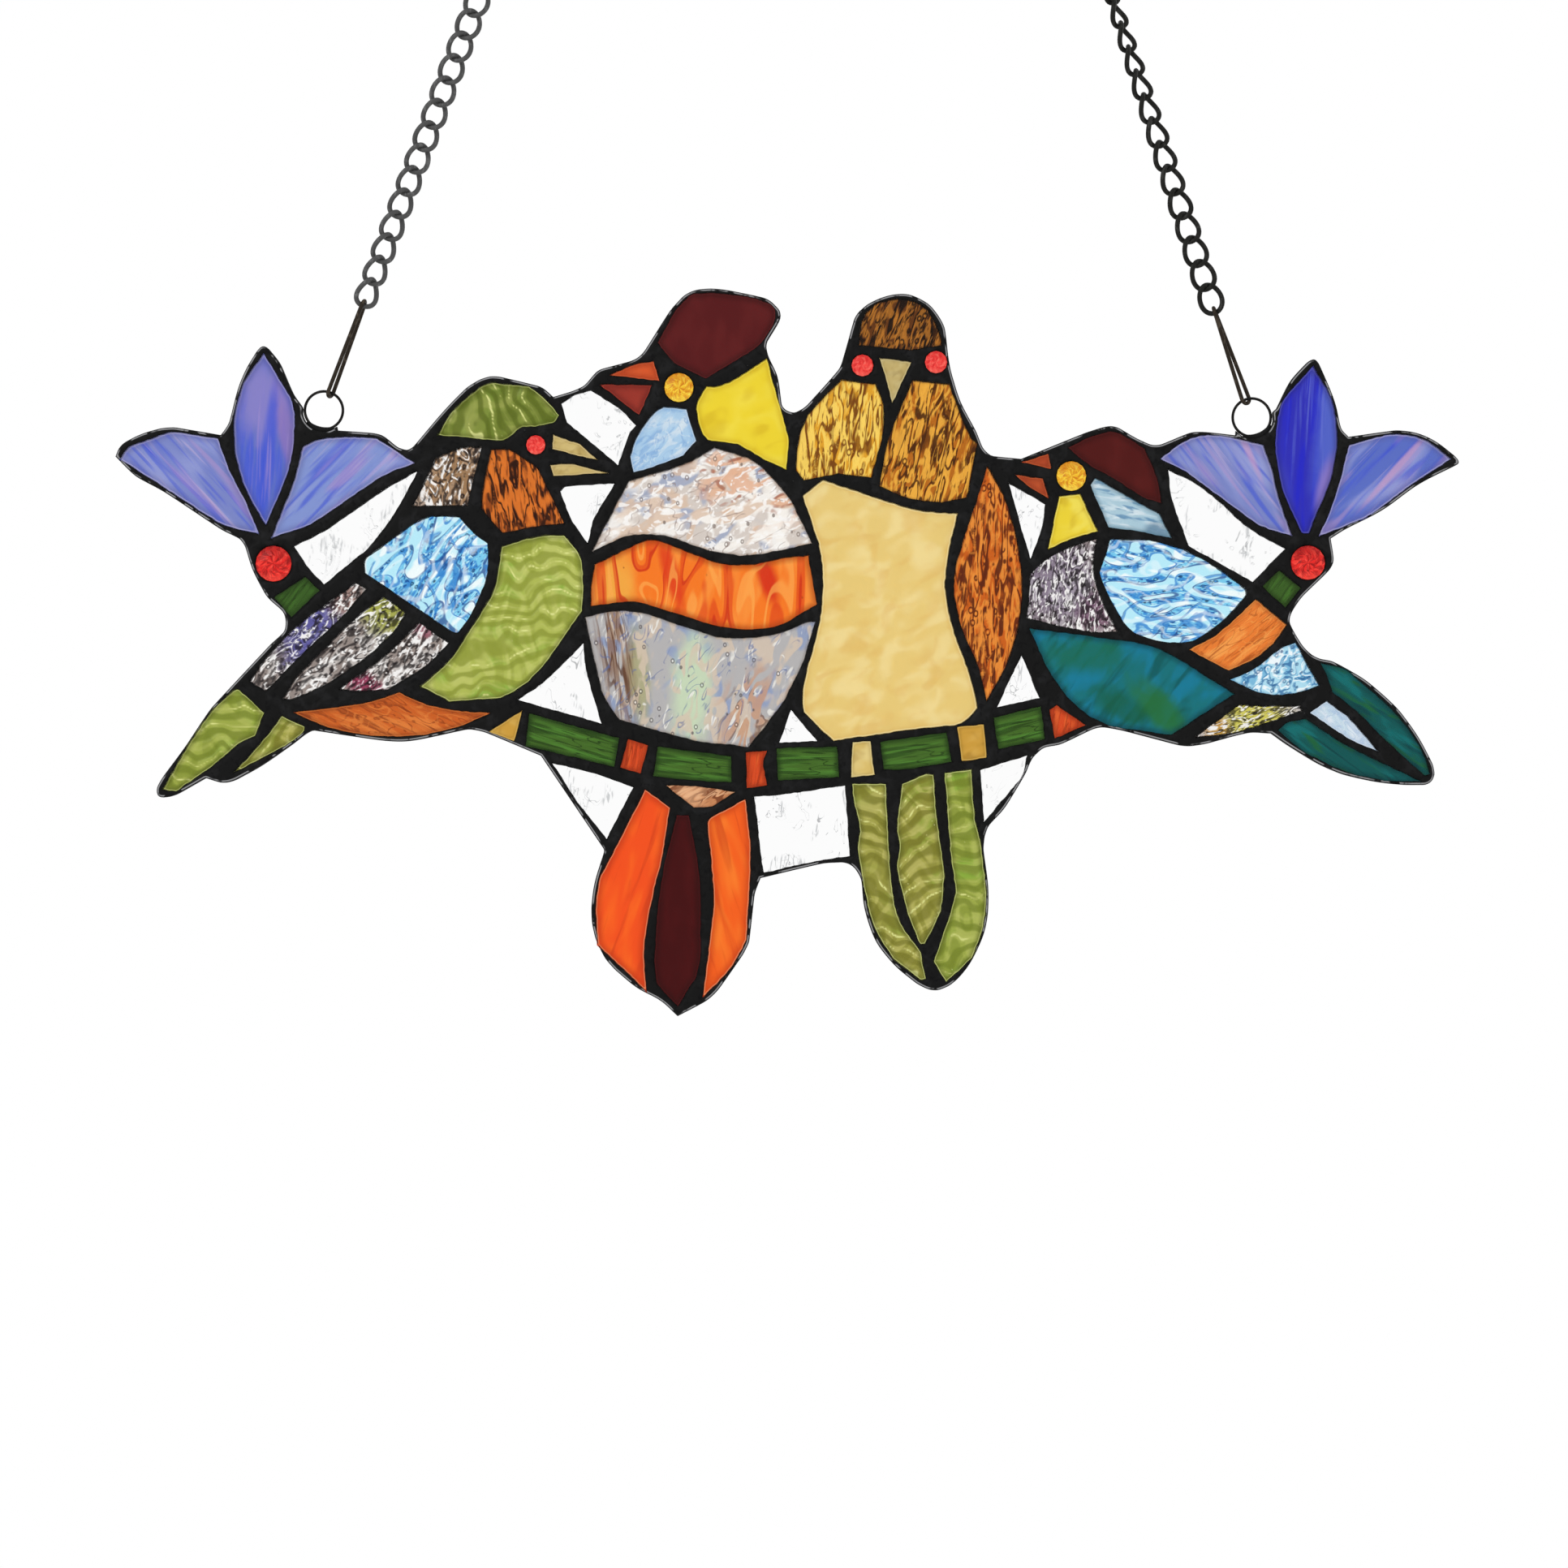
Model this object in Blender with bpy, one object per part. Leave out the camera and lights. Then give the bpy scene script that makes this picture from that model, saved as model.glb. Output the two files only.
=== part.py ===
"""Stained glass suncatcher: four birds on a branch between two flowers, hung by two chains.

The outlines are drawn on a flat pattern sheet in millimetres, as a glass worker draws them, with the
sheet's corner at the panel's lower left. on_sheet() carries a sheet point into the object's frame, whose
origin is the middle between the two end links that the panel hangs by. The front faces -Y.

An outline is a list of sides. A side starts at a corner and runs smoothly through its points to the
first point of the next side, so a tile of four corners is four sides of one point each.
"""

import math

import bmesh
import bpy
from mathutils import Matrix, Vector
from mathutils.geometry import delaunay_2d_cdt

MM = 0.001

HANG_X = 268.7
HANG_Z = 411.2

LEADING_THICKNESS = 5.0
GLASS_THICKNESS = 3.0
PAD_THICKNESS = 2.6
GLASS_GAP = 0.3
JEWEL_RISE = 2.6
OUTLINE_TOLERANCE = 0.42
OUTER_TOLERANCE = 0.22

RING_RADIUS = 7.5
RING_WIRE = 0.55
RING_SEAT_GAP = 0.3
RING_1 = (82.0, 238.8)
RING_2 = (447.8, 236.0)

HOOK_WIRE = 0.8
HOOK_HALF_WIDTH = 2.15
HOOK_GAP = 0.25

LINK_WIRE = 1.0
LINK_HALF_WIDTH = 4.3
LINK_TWIST = 1.4
LINK_BITE = 0.36
LINK_STEPS = 10
LINK_SIDES = 4

CHAIN_1_START = (99.3, 285.2)
CHAIN_1_STEP = (3.31, 8.81)
CHAIN_1_LINKS = 15
CHAIN_1_TURN = (40.0, 5.0)
CHAIN_2_START = (431.6, 282.7)
CHAIN_2_STEP = (-3.07, 9.4)
CHAIN_2_LINKS = 14
CHAIN_2_TURN = (0.0, 66.0)


def ring_seat(centre, start, end):
    """Points of the notch that the leading leaves for a hanging ring, from one angle to another."""
    radius = RING_RADIUS + RING_WIRE + RING_SEAT_GAP
    steps = 7
    points = []
    for i in range(steps + 1):
        angle = math.radians(start + (end - start) * i / steps)
        points.append((centre[0] + radius * math.cos(angle), centre[1] + radius * math.sin(angle)))
    return points


# The outer edge runs clockwise from the left tip: flower 1, birds 1 to 4, flower 2 and back below.
OUTER_EDGE = [
    [(0.0, 220.5), (1.4, 223.8), (4, 226.3), (12.5, 230.2), (22, 232)],
    [(41.5, 229), (44.5, 233.5), (48.7, 248.5), (54, 259.5), (58.3, 264), (64, 258.5), (70, 245.5)],
    ring_seat(RING_1, 172, 309),
    [(87.6, 230.8), (97, 230.2), (105, 228.9), (111, 224.4), (115.5, 223.3), (120, 227.4),
     (130, 239.2), (140, 248.8), (148, 252.1), (160, 249.9), (168, 247.7)],
    [(172.5, 244), (184, 248.1), (190.2, 254.3), (206, 259.7), (212.4, 268.7), (220, 279.8),
     (226.1, 285.2), (234.3, 286.7), (247.2, 284.9), (258, 281.8), (262.1, 276.3), (256.6, 265),
     (257.2, 260.4), (260.9, 251.8), (263, 240.1), (266.8, 237.9), (271, 239.6), (280, 249.4),
     (284.6, 254.4), (288.8, 266.3), (291.9, 276.2), (298.5, 281.7), (310.6, 284.6), (320, 280.8),
     (326.3, 272.1), (329, 255), (333.7, 240.6), (339, 230.6)],
    [(341.6, 224.3), (344.8, 221.1)],
    [(356.8, 219.6), (368.2, 224.1), (384.9, 230.8), (393.2, 232.4), (402.8, 227.5), (409.9, 225),
     (419.5, 228.5), (425.3, 230.2)],
    [(441.3, 228.9)],
    ring_seat(RING_2, 220, 374),
    [(457.4, 239.4), (464, 251.7), (472.3, 258.8), (476.2, 252.6), (481, 240.1), (482.9, 231.8)],
    [(485.8, 228.3), (496.7, 229.9), (505.6, 230.8), (514.6, 229.2), (523.6, 224.1), (529.3, 218.2),
     (525.5, 215.8), (513.3, 209.4), (499.2, 199.4), (485.1, 192.1)],
    [(478.8, 188.2), (479.7, 178.5), (474.9, 172.2), (467.8, 165.4), (463.1, 158.2)],
    [(462.9, 154.4), (467.8, 146), (472.6, 141.7)],
    [(480, 139.6), (492.8, 132.2), (506.9, 119.1), (516.5, 104.4), (519.7, 96), (517.8, 91.9),
     (508.8, 91.1), (489, 93.8), (476.2, 98.3), (462.1, 106.6)],
    [(455.3, 111.4), (446, 111.5), (435.3, 108.6), (422, 106.4), (411.5, 108.8), (396.2, 112.6),
     (387.8, 113.7), (380.8, 111.1), (371.8, 106.9), (366, 105.7), (361.5, 101.8), (358.3, 95.1),
     (350, 81.6), (343.8, 74.4), (342.1, 67), (343.9, 50), (342.9, 35.3), (336.2, 20.1),
     (328.1, 11.8), (321.5, 10.3), (310.6, 16.7), (299.8, 29.2), (295.1, 42.7), (293.3, 55),
     (289, 59.9), (279.6, 60.2), (263.5, 56.4)],
    [(254.2, 54.4), (252, 48.4), (250.7, 37.9), (249.4, 28.7), (240.9, 15), (234.3, 7.2)],
    [(221.5, 0), (216, 5)],
    [(214.7, 6.1), (204.2, 12.1), (192.5, 23.5), (187.9, 35.9), (188.2, 49.7)],
    [(192.4, 64.5)],
    [(192.3, 66), (180.7, 83)],
    [(167.6, 102.6), (154.1, 108.2), (144.5, 112.1), (138.7, 112.9), (126.5, 110.3), (112.5, 108.2),
     (96, 109.8), (83.1, 111.9), (77.5, 112.4), (69, 106.6), (56.2, 97.9), (43.5, 92)],
    [(35.6, 93.8), (22.2, 86.7), (17.1, 86.6), (16.3, 89.6), (27.3, 106), (38.8, 122.6),
     (49.4, 133.8), (60.6, 146), (66.5, 152), (66.4, 158.5), (60.3, 164.6), (53.9, 176.2),
     (52.2, 182), (49.5, 187.4), (42, 191.5), (33, 197.6), (20, 206), (8, 212.8)],
]

# Sheets of glass that are cut, foiled and soldered in, each its own node.
GLASS = {
    "petal_1_left": [
        [(2.2, 219.4), (5, 223.7), (12.2, 227.2), (22.6, 229.9), (31, 228.7)],
        [(40.2, 227.4), (44.7, 215.5), (51, 203)],
        [(56.4, 190.2), (42, 194.1), (28.9, 202.1), (18, 209.4)],
    ],
    "petal_1_middle": [
        [(58.4, 260.7), (65.3, 250.3), (69.9, 240.5), (69.8, 224), (67.6, 213.4)],
        [(59.3, 193.7), (52, 206.5), (47.4, 222), (47.4, 238), (51.5, 251)],
    ],
    "petal_1_right": [
        [(74, 224.3), (81, 227.2), (92, 228.1)],
        [(103, 227.6), (110, 222.9)],
        [(117.5, 218), (105, 212.7), (90, 202.3), (76, 193.6)],
        [(61.4, 188.4), (66, 199.1), (71.5, 214)],
    ],
    "clear_under_petals": [
        [(119, 214.8), (105, 206.7), (90, 196.1), (80, 189.9)],
        [(70.3, 185.1), (76.9, 175.4)],
        [(82.1, 170.2), (90, 176.7), (100, 185.2), (110, 198.4)],
    ],
    "bird_1_head": [
        [(127.2, 229), (133, 238.5), (142, 246.5), (147, 249.1), (156, 249), (163, 248.2), (168, 244.3)],
        [(174.8, 236.8)],
        [(172.8, 234.2), (165.5, 232.4)],
        [(160.3, 232), (154.5, 227.9)],
        [(152, 226.9), (142, 227.5)],
    ],
    "bird_1_collar": [
        [(144, 223.9), (136.6, 223.8)],
        [(126.6, 219.8), (122.1, 211.6)],
        [(117.3, 201.1), (127, 201.6)],
        [(138.4, 201.4), (141.1, 211.2)],
    ],
    "bird_1_cheek": [
        [(148.1, 223)],
        [(155.2, 223.1), (160.8, 219.2), (166, 215.9), (172.1, 203.5)],
        [(176.8, 194.2), (165, 193)],
        [(152.5, 190.4)],
        [(144.4, 199.9), (145.4, 209.8)],
    ],
    "bird_1_wing": [
        [(98.4, 174.8), (98.7, 179.8), (107.1, 186.4), (117, 193.3)],
        [(123, 196.4), (129, 196.9)],
        [(135.4, 196.4), (141.5, 189.9)],
        [(146.5, 186.2), (146.2, 173.6), (141.3, 160.8)],
        [(135.4, 151.6)],
        [(132.5, 151.6), (118.8, 161.4)],
    ],
    "bird_1_feather_upper": [
        [(94.6, 170.4)],
        [(98.5, 168.3), (90.5, 158.9), (80.5, 149.6), (67.7, 137.1)],
        [(59.4, 128.4)],
        [(53.1, 131.9), (60.6, 142.2), (72.2, 154), (84.4, 163.3)],
    ],
    "bird_1_feather_middle": [
        [(105.7, 164.9)],
        [(114.2, 158.8), (110.5, 152.8), (100.5, 143.1), (89, 134.8), (80.5, 129.7)],
        [(69.6, 125.1)],
        [(66.4, 125.3), (70.9, 132.6), (79.6, 141.5), (97.2, 158.8)],
    ],
    "bird_1_feather_lower": [
        [(119.8, 154.6)],
        [(131, 147), (125.5, 141.2), (115.6, 133.5)],
        [(107.3, 129), (97, 128.4)],
        [(88.5, 128.9), (99.1, 136.1), (109.2, 144.4)],
    ],
    "bird_1_belly": [
        [(152.1, 185.1), (162.1, 188.1), (170.7, 189.5)],
        [(176.8, 189.5), (183, 181.1), (184.2, 170.4)],
        [(183.6, 159.8), (177.2, 151.2), (170.1, 140.3), (160.5, 130.3)],
        [(151.8, 125.4), (142.6, 124.4)],
        [(131.5, 124.1)],
        [(120.4, 129.9), (131.7, 140.3), (141.9, 155), (149.6, 169.7)],
    ],
    "bird_1_underbelly": [
        [(70.3, 119.7), (86.9, 121.5), (99.7, 123.6)],
        [(111.8, 127.4), (123.3, 122.6), (134.9, 120.4)],
        [(147.4, 119.4), (134.9, 114), (118.8, 110.8), (99.6, 110.8), (82.4, 114.3)],
    ],
    "bird_1_tail_upper": [
        [(45.9, 127.9)],
        [(48.8, 128.4)],
        [(58.4, 119.4)],
        [(55, 110.4)],
        [(49, 107.9), (40.1, 100.2), (31.2, 94.1)],
        [(23.8, 88.7)],
        [(18.8, 89.5), (23.8, 98.3), (30.5, 109.5), (38.2, 120.4)],
    ],
    "bird_1_tail_lower": [
        [(65.6, 118.1)],
        [(74.4, 114), (74.2, 112.4), (66.4, 106.3), (55.5, 100.2)],
        [(46.5, 96), (55.5, 105.6)],
    ],
    "clear_over_beak_1": [
        [(175.7, 241.4), (181, 244.8)],
        [(187.2, 246.5), (197.8, 239.8)],
        [(205.1, 232.8)],
        [(202.5, 229.6)],
        [(198, 217.1), (188.1, 225.3)],
        [(177.9, 234)],
    ],
    "clear_under_beak_1": [
        [(175.1, 206.9)],
        [(177.5, 208.8), (188, 209.8)],
        [(196.7, 210)],
        [(188.8, 196.3)],
        [(186, 186.3), (179.6, 195.7)],
    ],
    "clear_by_belly_1": [
        [(184.3, 147), (185, 138), (187.8, 127.4)],
        [(191.5, 115.3), (175.3, 119.7)],
        [(158.9, 124.7), (169.5, 132.2), (179.7, 142.5)],
    ],
    "bird_2_crest": [
        [(213.6, 265.4), (218.5, 274.8), (225.5, 283.2)],
        [(228, 284.6), (240, 284.6), (257, 281), (260, 277.5), (255.4, 266.4), (240, 255.8)],
        [(232.6, 251.3), (220, 257.4)],
    ],
    "bird_2_throat": [
        [(202.9, 220.5), (206, 229.1), (213.2, 238.3)],
        [(216, 240)],
        [(224.8, 239.1), (226.7, 233)],
        [(228.7, 226.7)],
        [(223.6, 220.9), (212, 216.5)],
        [(204.2, 214.4)],
    ],
    "bird_2_neck": [
        [(256.5, 258.8), (245, 251.4)],
        [(236.6, 247.7)],
        [(233, 248), (229.2, 240.5), (230.7, 231)],
        [(233.3, 227), (245.3, 225.6), (256.2, 219.1)],
        [(264.1, 215.6), (264.9, 228), (261.9, 238.6)],
    ],
    "bird_2_body_upper": [
        [(236, 223.8), (250, 219.3), (260, 210.5), (267.1, 201)],
        [(274.2, 186.4), (256.9, 182.7), (246, 181.5), (232.6, 184), (217.8, 189.1), (203.1, 189.6)],
        [(188, 183.2), (196.3, 199.5)],
        [(202.2, 210.8), (212, 213.6), (225, 217.8)],
    ],
    "bird_2_band": [
        [(189, 177.9), (200.5, 183.7), (211, 187.4), (223.6, 183.7), (236.4, 178.8), (250, 177.7),
         (263.3, 180.4)],
        [(272.9, 181.4), (274.4, 172)],
        [(276.2, 162.3), (262.7, 154.5), (249, 152.5), (236.4, 154.2), (222.3, 158.5), (205, 163.3)],
        [(187.5, 161.8), (187.5, 169)],
    ],
    "bird_2_body_lower": [
        [(185.1, 157.2), (197.3, 159.5), (207.6, 158.7), (222.3, 154.2), (235.8, 149.7), (250, 149),
         (263.3, 151.3)],
        [(272.3, 155.1)],
        [(275.5, 155.2), (271, 140.4), (262.7, 123.7)],
        [(249.2, 106.3), (227.4, 109)],
        [(198.6, 116.8), (192.2, 126.9), (188.3, 142.9)],
    ],
    "bird_2_tail_left": [
        [(208.7, 89.1)],
        [(218.5, 82.1), (215.4, 63.4), (210.8, 43.8), (208.2, 24.8)],
        [(209.1, 10), (196.4, 21.7)],
        [(190.2, 28.2), (189.3, 41), (191.5, 55.5), (198.4, 68.6), (204.2, 79.8)],
    ],
    "bird_2_tail_middle": [
        [(221.2, 79.1)],
        [(225.8, 79.1), (229.7, 58.2), (230.7, 38.6), (228.8, 16.3)],
        [(221.6, 3.9), (213.7, 13.1), (213, 33), (216, 57.5)],
    ],
    "bird_2_tail_right": [
        [(233.3, 75.8)],
        [(235.6, 78.8), (240.9, 81.4)],
        [(248.1, 85.3), (250, 68), (249.8, 50)],
        [(248.6, 30.1), (242.2, 18.9)],
        [(231.5, 7.5), (234.3, 28.1), (235.8, 43), (235, 60)],
    ],
    "clear_left_of_tail_2": [
        [(172.2, 99.5), (187.2, 96)],
        [(203.9, 90.1), (196.7, 76.5)],
        [(193.5, 69.8), (182.7, 83.7)],
    ],
    "clear_between_tails": [
        [(251.7, 86.4), (263.5, 87.4)],
        [(287.4, 90.8), (289, 72)],
        [(289.2, 63.2), (272.9, 60.5)],
        [(255.4, 56.6)],
    ],
    "clear_right_of_tail_3": [
        [(340.8, 96.9), (350, 99.6)],
        [(359.2, 102.7), (357.4, 95.5), (350.5, 86)],
        [(342.2, 76.5), (340.9, 89.8)],
    ],
    "bird_3_crown": [
        [(293, 264.3), (294.5, 274), (299, 280), (309.5, 282.4), (319, 279), (324, 270.5)],
        [(325.6, 264.3), (312, 262.8)],
    ],
    "bird_3_shoulder_left": [
        [(286.2, 250.6)],
        [(299.3, 249), (302.3, 241.3), (302, 229.1)],
        [(297.8, 212.2), (285, 214.1)],
        [(271.2, 211.2)],
        [(268.2, 215), (269.9, 229.7)],
        [(272.8, 237.1)],
    ],
    "bird_3_shoulder_right": [
        [(314.2, 250.3)],
        [(328.6, 248.9), (333.7, 234.9)],
        [(336.9, 228)],
        [(339.4, 225.6), (336.9, 211.8)],
        [(335.3, 204.4)],
        [(325.5, 202.4), (313.2, 204.1)],
        [(301, 208.9), (304.9, 227.8)],
    ],
    "bird_3_body": [
        [(278.8, 211), (296.5, 205.4), (314.5, 199.5)],
        [(331.7, 197.9), (328.4, 184.5)],
        [(326.4, 169), (330.5, 150), (336.9, 133.3)],
        [(339.5, 121.5), (333.7, 116), (315.1, 113.3)],
        [(283, 108.6)],
        [(271.2, 119.9), (271.3, 131), (275.1, 144.2), (278.7, 164), (277.5, 184.5)],
        [(270.9, 205)],
    ],
    "bird_3_wing": [
        [(343.5, 216), (349.7, 205.1), (355.1, 187), (357, 168.2), (354.9, 150.6), (349.7, 135.9)],
        [(343.2, 124.6), (340.1, 137.2), (334, 151.9), (330.5, 171), (335.6, 192.3)],
    ],
    "bird_3_tail_left": [
        [(290.4, 91.5)],
        [(303.5, 91.5), (304.4, 76), (305.2, 58.8), (308.5, 38.5)],
        [(317.3, 25.2)],
        [(319.2, 14.8)],
        [(317, 14.5), (306.6, 22.8), (298.5, 36.6), (294.4, 54.1)],
        [(292.6, 65.9), (293.4, 73.6)],
        [(290.9, 85.4)],
    ],
    "bird_3_tail_middle": [
        [(310.1, 91.5)],
        [(318.7, 95.1)],
        [(322.2, 95.1), (323.7, 77.7)],
        [(326.8, 55), (325.1, 41.3)],
        [(319, 28.4)],
        [(317, 28.6), (312, 41.3), (308.2, 58.1)],
        [(309.2, 67)],
        [(308, 74.5)],
    ],
    "bird_3_tail_right": [
        [(326.8, 95.7)],
        [(337.2, 97.1), (338.9, 76)],
        [(340.7, 69), (343.1, 44.7), (340.5, 30.5)],
        [(337.5, 23.1)],
        [(327.3, 13.4)],
        [(322.4, 21.5), (328.8, 40)],
        [(331.1, 48.7), (328.8, 68)],
    ],
    "bird_4_crown": [
        [(375.6, 224), (385, 228.6), (393, 230.2), (402.8, 225.4)],
        [(405.4, 223.7), (410.2, 212)],
        [(411.9, 202.3), (405.4, 204.4), (392.6, 212.4), (381.7, 218.5)],
    ],
    "bird_4_throat": [
        [(372, 204.6)],
        [(379.9, 205.6), (383.4, 198.5)],
        [(386.7, 191.2), (378, 188.7)],
        [(367.6, 184.3), (370.3, 197)],
    ],
    "bird_4_neck": [
        [(384.3, 209.3)],
        [(386, 211.9), (397.1, 205.7), (407.9, 199.9)],
        [(411.2, 197.7)],
        [(416, 188.4), (404.1, 190.9)],
        [(391.3, 192.7), (387.4, 202.2)],
    ],
    "bird_4_shoulder": [
        [(386.5, 188), (374, 183.6), (365.6, 178.8)],
        [(360.3, 173.7), (360.2, 164)],
        [(358.9, 157)],
        [(374, 153.5), (386, 151.4)],
        [(394.4, 151.6), (387.8, 165.6), (385, 177)],
    ],
    "bird_4_wing": [
        [(392.2, 187.6), (407.3, 187.4), (420.8, 183.6), (432.9, 177.2)],
        [(444.8, 168.5)],
        [(445, 165.5), (436.2, 156), (424.6, 148.3), (413, 147.6), (400.3, 152.2), (392.6, 163.1)],
        [(387.8, 174.7)],
    ],
    "bird_4_belly": [
        [(360.2, 152.7), (381.7, 150), (409.2, 145.2), (425.3, 136.9)],
        [(440.6, 126.9), (429.7, 119.6)],
        [(416, 111), (404.1, 112.5), (390, 115.4), (377.8, 123.1), (368.2, 135.9)],
    ],
    "bird_4_rump": [
        [(423.1, 144.4), (434.9, 151), (444.1, 159.5)],
        [(449.2, 164.1)],
        [(461.2, 154.2), (456.3, 147.3), (449.9, 141.5)],
        [(438.7, 136.2)],
    ],
    "bird_4_flank": [
        [(439.3, 132.6), (449.2, 137.1), (459.8, 145.1)],
        [(464.9, 147), (469.4, 139)],
        [(474.1, 130.4), (463.3, 127.1), (451.8, 127.4)],
    ],
    "bird_4_vent": [
        [(425.5, 110), (433.5, 116)],
        [(442.8, 122.5), (454.4, 121.8)],
        [(466.5, 122.1)],
        [(467.2, 120.4), (455.6, 116.9), (442.8, 112.4)],
    ],
    "bird_4_tail_upper": [
        [(474.9, 139), (483.2, 137.1), (496, 127.4), (508.8, 114), (515.3, 103.1)],
        [(517.8, 95.6)],
        [(515.5, 95.2), (502.4, 106.9), (489.6, 119.7)],
        [(479.4, 127.8), (477.1, 135.1)],
    ],
    "bird_4_tail_lower": [
        [(458.2, 112.7), (462.5, 116)],
        [(469, 116.9), (484.5, 106.9), (500.5, 99.2)],
        [(514.3, 92.5), (496, 93.6), (480, 98.3), (467.5, 105)],
    ],
    "clear_right_of_bird_4": [
        [(414.7, 215.4), (424, 210.8), (436.2, 201.7), (446, 192.7)],
        [(460.9, 184.2)],
        [(448.1, 171.2), (435.1, 178.9)],
        [(422.8, 185.4), (416.5, 203)],
    ],
    "petal_2_left": [
        [(411.9, 219.6), (417.6, 224.3), (425.9, 228.3), (435, 228.7), (445.4, 226.7)],
        [(452.2, 225), (455.6, 215.1), (457.9, 204.9)],
        [(463.5, 189.3), (451.8, 193), (439.9, 200.7), (430, 208.4), (420.1, 215.6)],
    ],
    "petal_2_middle": [
        [(471.8, 255.8), (478.4, 244.6), (481.2, 230), (479, 212.6)],
        [(470.1, 190.4)],
        [(467.3, 190.8), (459.8, 208.1), (457.1, 226), (460.1, 242.1)],
    ],
    "petal_2_right": [
        [(486.1, 225.1), (496, 227.9), (505.6, 229.2), (515.9, 227)],
        [(526, 219.5), (510.8, 209.7), (497.9, 200.1)],
        [(489, 194.9)],
        [(474.2, 189.3), (479.4, 201), (484.5, 218.3)],
    ],
}

# Small tiles that share the leading's node as pads set into it.
SMALL_TILES = {
    "leaf_1": [[(74.7, 173.1)], [(80.4, 167.7)], [(69.3, 157.1)], [(62.6, 165)]],
    "leaf_2": [[(458.6, 175.6)], [(467, 168.8)], [(461, 160.9)], [(452, 169.4)]],
    "bird_1_beak_upper": [[(172.4, 229.1)], [(182.9, 225.3)], [(190.2, 219), (180, 221.5)], [(172, 223.4)]],
    "bird_1_beak_lower": [[(171.2, 217.2), (178.3, 217.6)], [(194.1, 214)], [(172.6, 212.9)]],
    "bird_2_beak_upper": [[(194.9, 252.6), (206.2, 257.2)], [(212, 258)], [(214.2, 250.4)]],
    "bird_2_beak_lower": [[(190.9, 248.8)], [(211.4, 248.7)], [(206.3, 237.1), (195.2, 245.4)]],
    "bird_3_beak": [[(300.8, 259.4)], [(313.6, 257.7)], [(306, 241.6), (303.4, 252)]],
    "bird_4_beak_upper": [[(356.9, 218.3), (362.5, 220.3)], [(367.6, 221.7)], [(368.5, 215.8)]],
    "bird_4_beak_lower": [[(354.6, 213.3)], [(365.2, 211.8)], [(367.6, 204.1), (359.5, 209)]],
    "clear_between_birds": [[(266.2, 120.6), (272.9, 112.5)], [(276.5, 108.4)], [(261.7, 107.9)]],
    "clear_under_beak_4": [[(351.9, 210)], [(366.3, 201.7), (364.7, 191.3)], [(360.5, 180.2)]],
    "clear_by_wing_3": [[(357, 142.2)], [(364.2, 125.3)], [(347.4, 121.8)]],
    "bird_2_tail_top": [[(216.9, 91), (230, 90.4)], [(244, 88.3), (235, 82.8)], [(227.8, 82.2)]],
    "bird_4_tail_middle": [[(477.2, 124.2), (486.4, 116.9)], [(497.3, 104.4), (487.7, 108.5)],
                           [(470.7, 119.6)]],
    "branch_01": [[(160.2, 120.4)], [(157, 108.4)], [(147.1, 112.1)]],
    "branch_02": [[(163.1, 119.1)], [(198.3, 109.6)], [(196.4, 98.4)], [(161.6, 106.6)]],
    "branch_03": [[(202, 109)], [(209.8, 106.7)], [(206.9, 95.6)], [(199.1, 98.2)]],
    "branch_04": [[(213.7, 106.1)], [(242.6, 102.4)], [(242.8, 92.2), (227, 93)], [(211.8, 94.6)]],
    "branch_05": [[(248.4, 103.9)], [(256.6, 104.5)], [(255.3, 99.1)], [(256.7, 91)], [(248.6, 89.9)]],
    "branch_06": [[(260.4, 105.5)], [(284.3, 106.3)], [(285.2, 94.2)], [(261.1, 93)]],
    "branch_07": [[(290.3, 108.1)], [(297.5, 108.3)], [(299, 95.3)], [(290, 94.2)]],
    "branch_08": [[(301.2, 108)], [(327.3, 111.7)], [(329.5, 100.2)], [(309.6, 97.1)], [(302.9, 97.5)]],
    "branch_09": [[(331.8, 113.8)], [(342.1, 114.9)], [(343.2, 101.9)], [(333.4, 100.6)]],
    "branch_10": [[(346.1, 117.6)], [(364.6, 122.1)], [(366.3, 109.3)], [(348, 105.4)]],
    "branch_11": [[(368.1, 120.7)], [(370.8, 122.4)], [(382.3, 114.7)], [(370.1, 109.5)]],
}

# Round glass, as centre and radius. It rises from the leading as a low dome.
ROUND_TILES = {
    "jewel_1": ((62.3, 178.3), 6.9),
    "jewel_2": ((469.8, 178.7), 6.6),
    "bird_1_eye": ((165.6, 225.1), 3.7),
    "bird_2_eye": ((222.0, 247.7), 5.6),
    "bird_3_eye_left": ((294.3, 256.4), 4.2),
    "bird_3_eye_right": ((323.3, 257.7), 4.3),
    "bird_4_eye": ((376.6, 212.8), 5.7),
}

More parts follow.
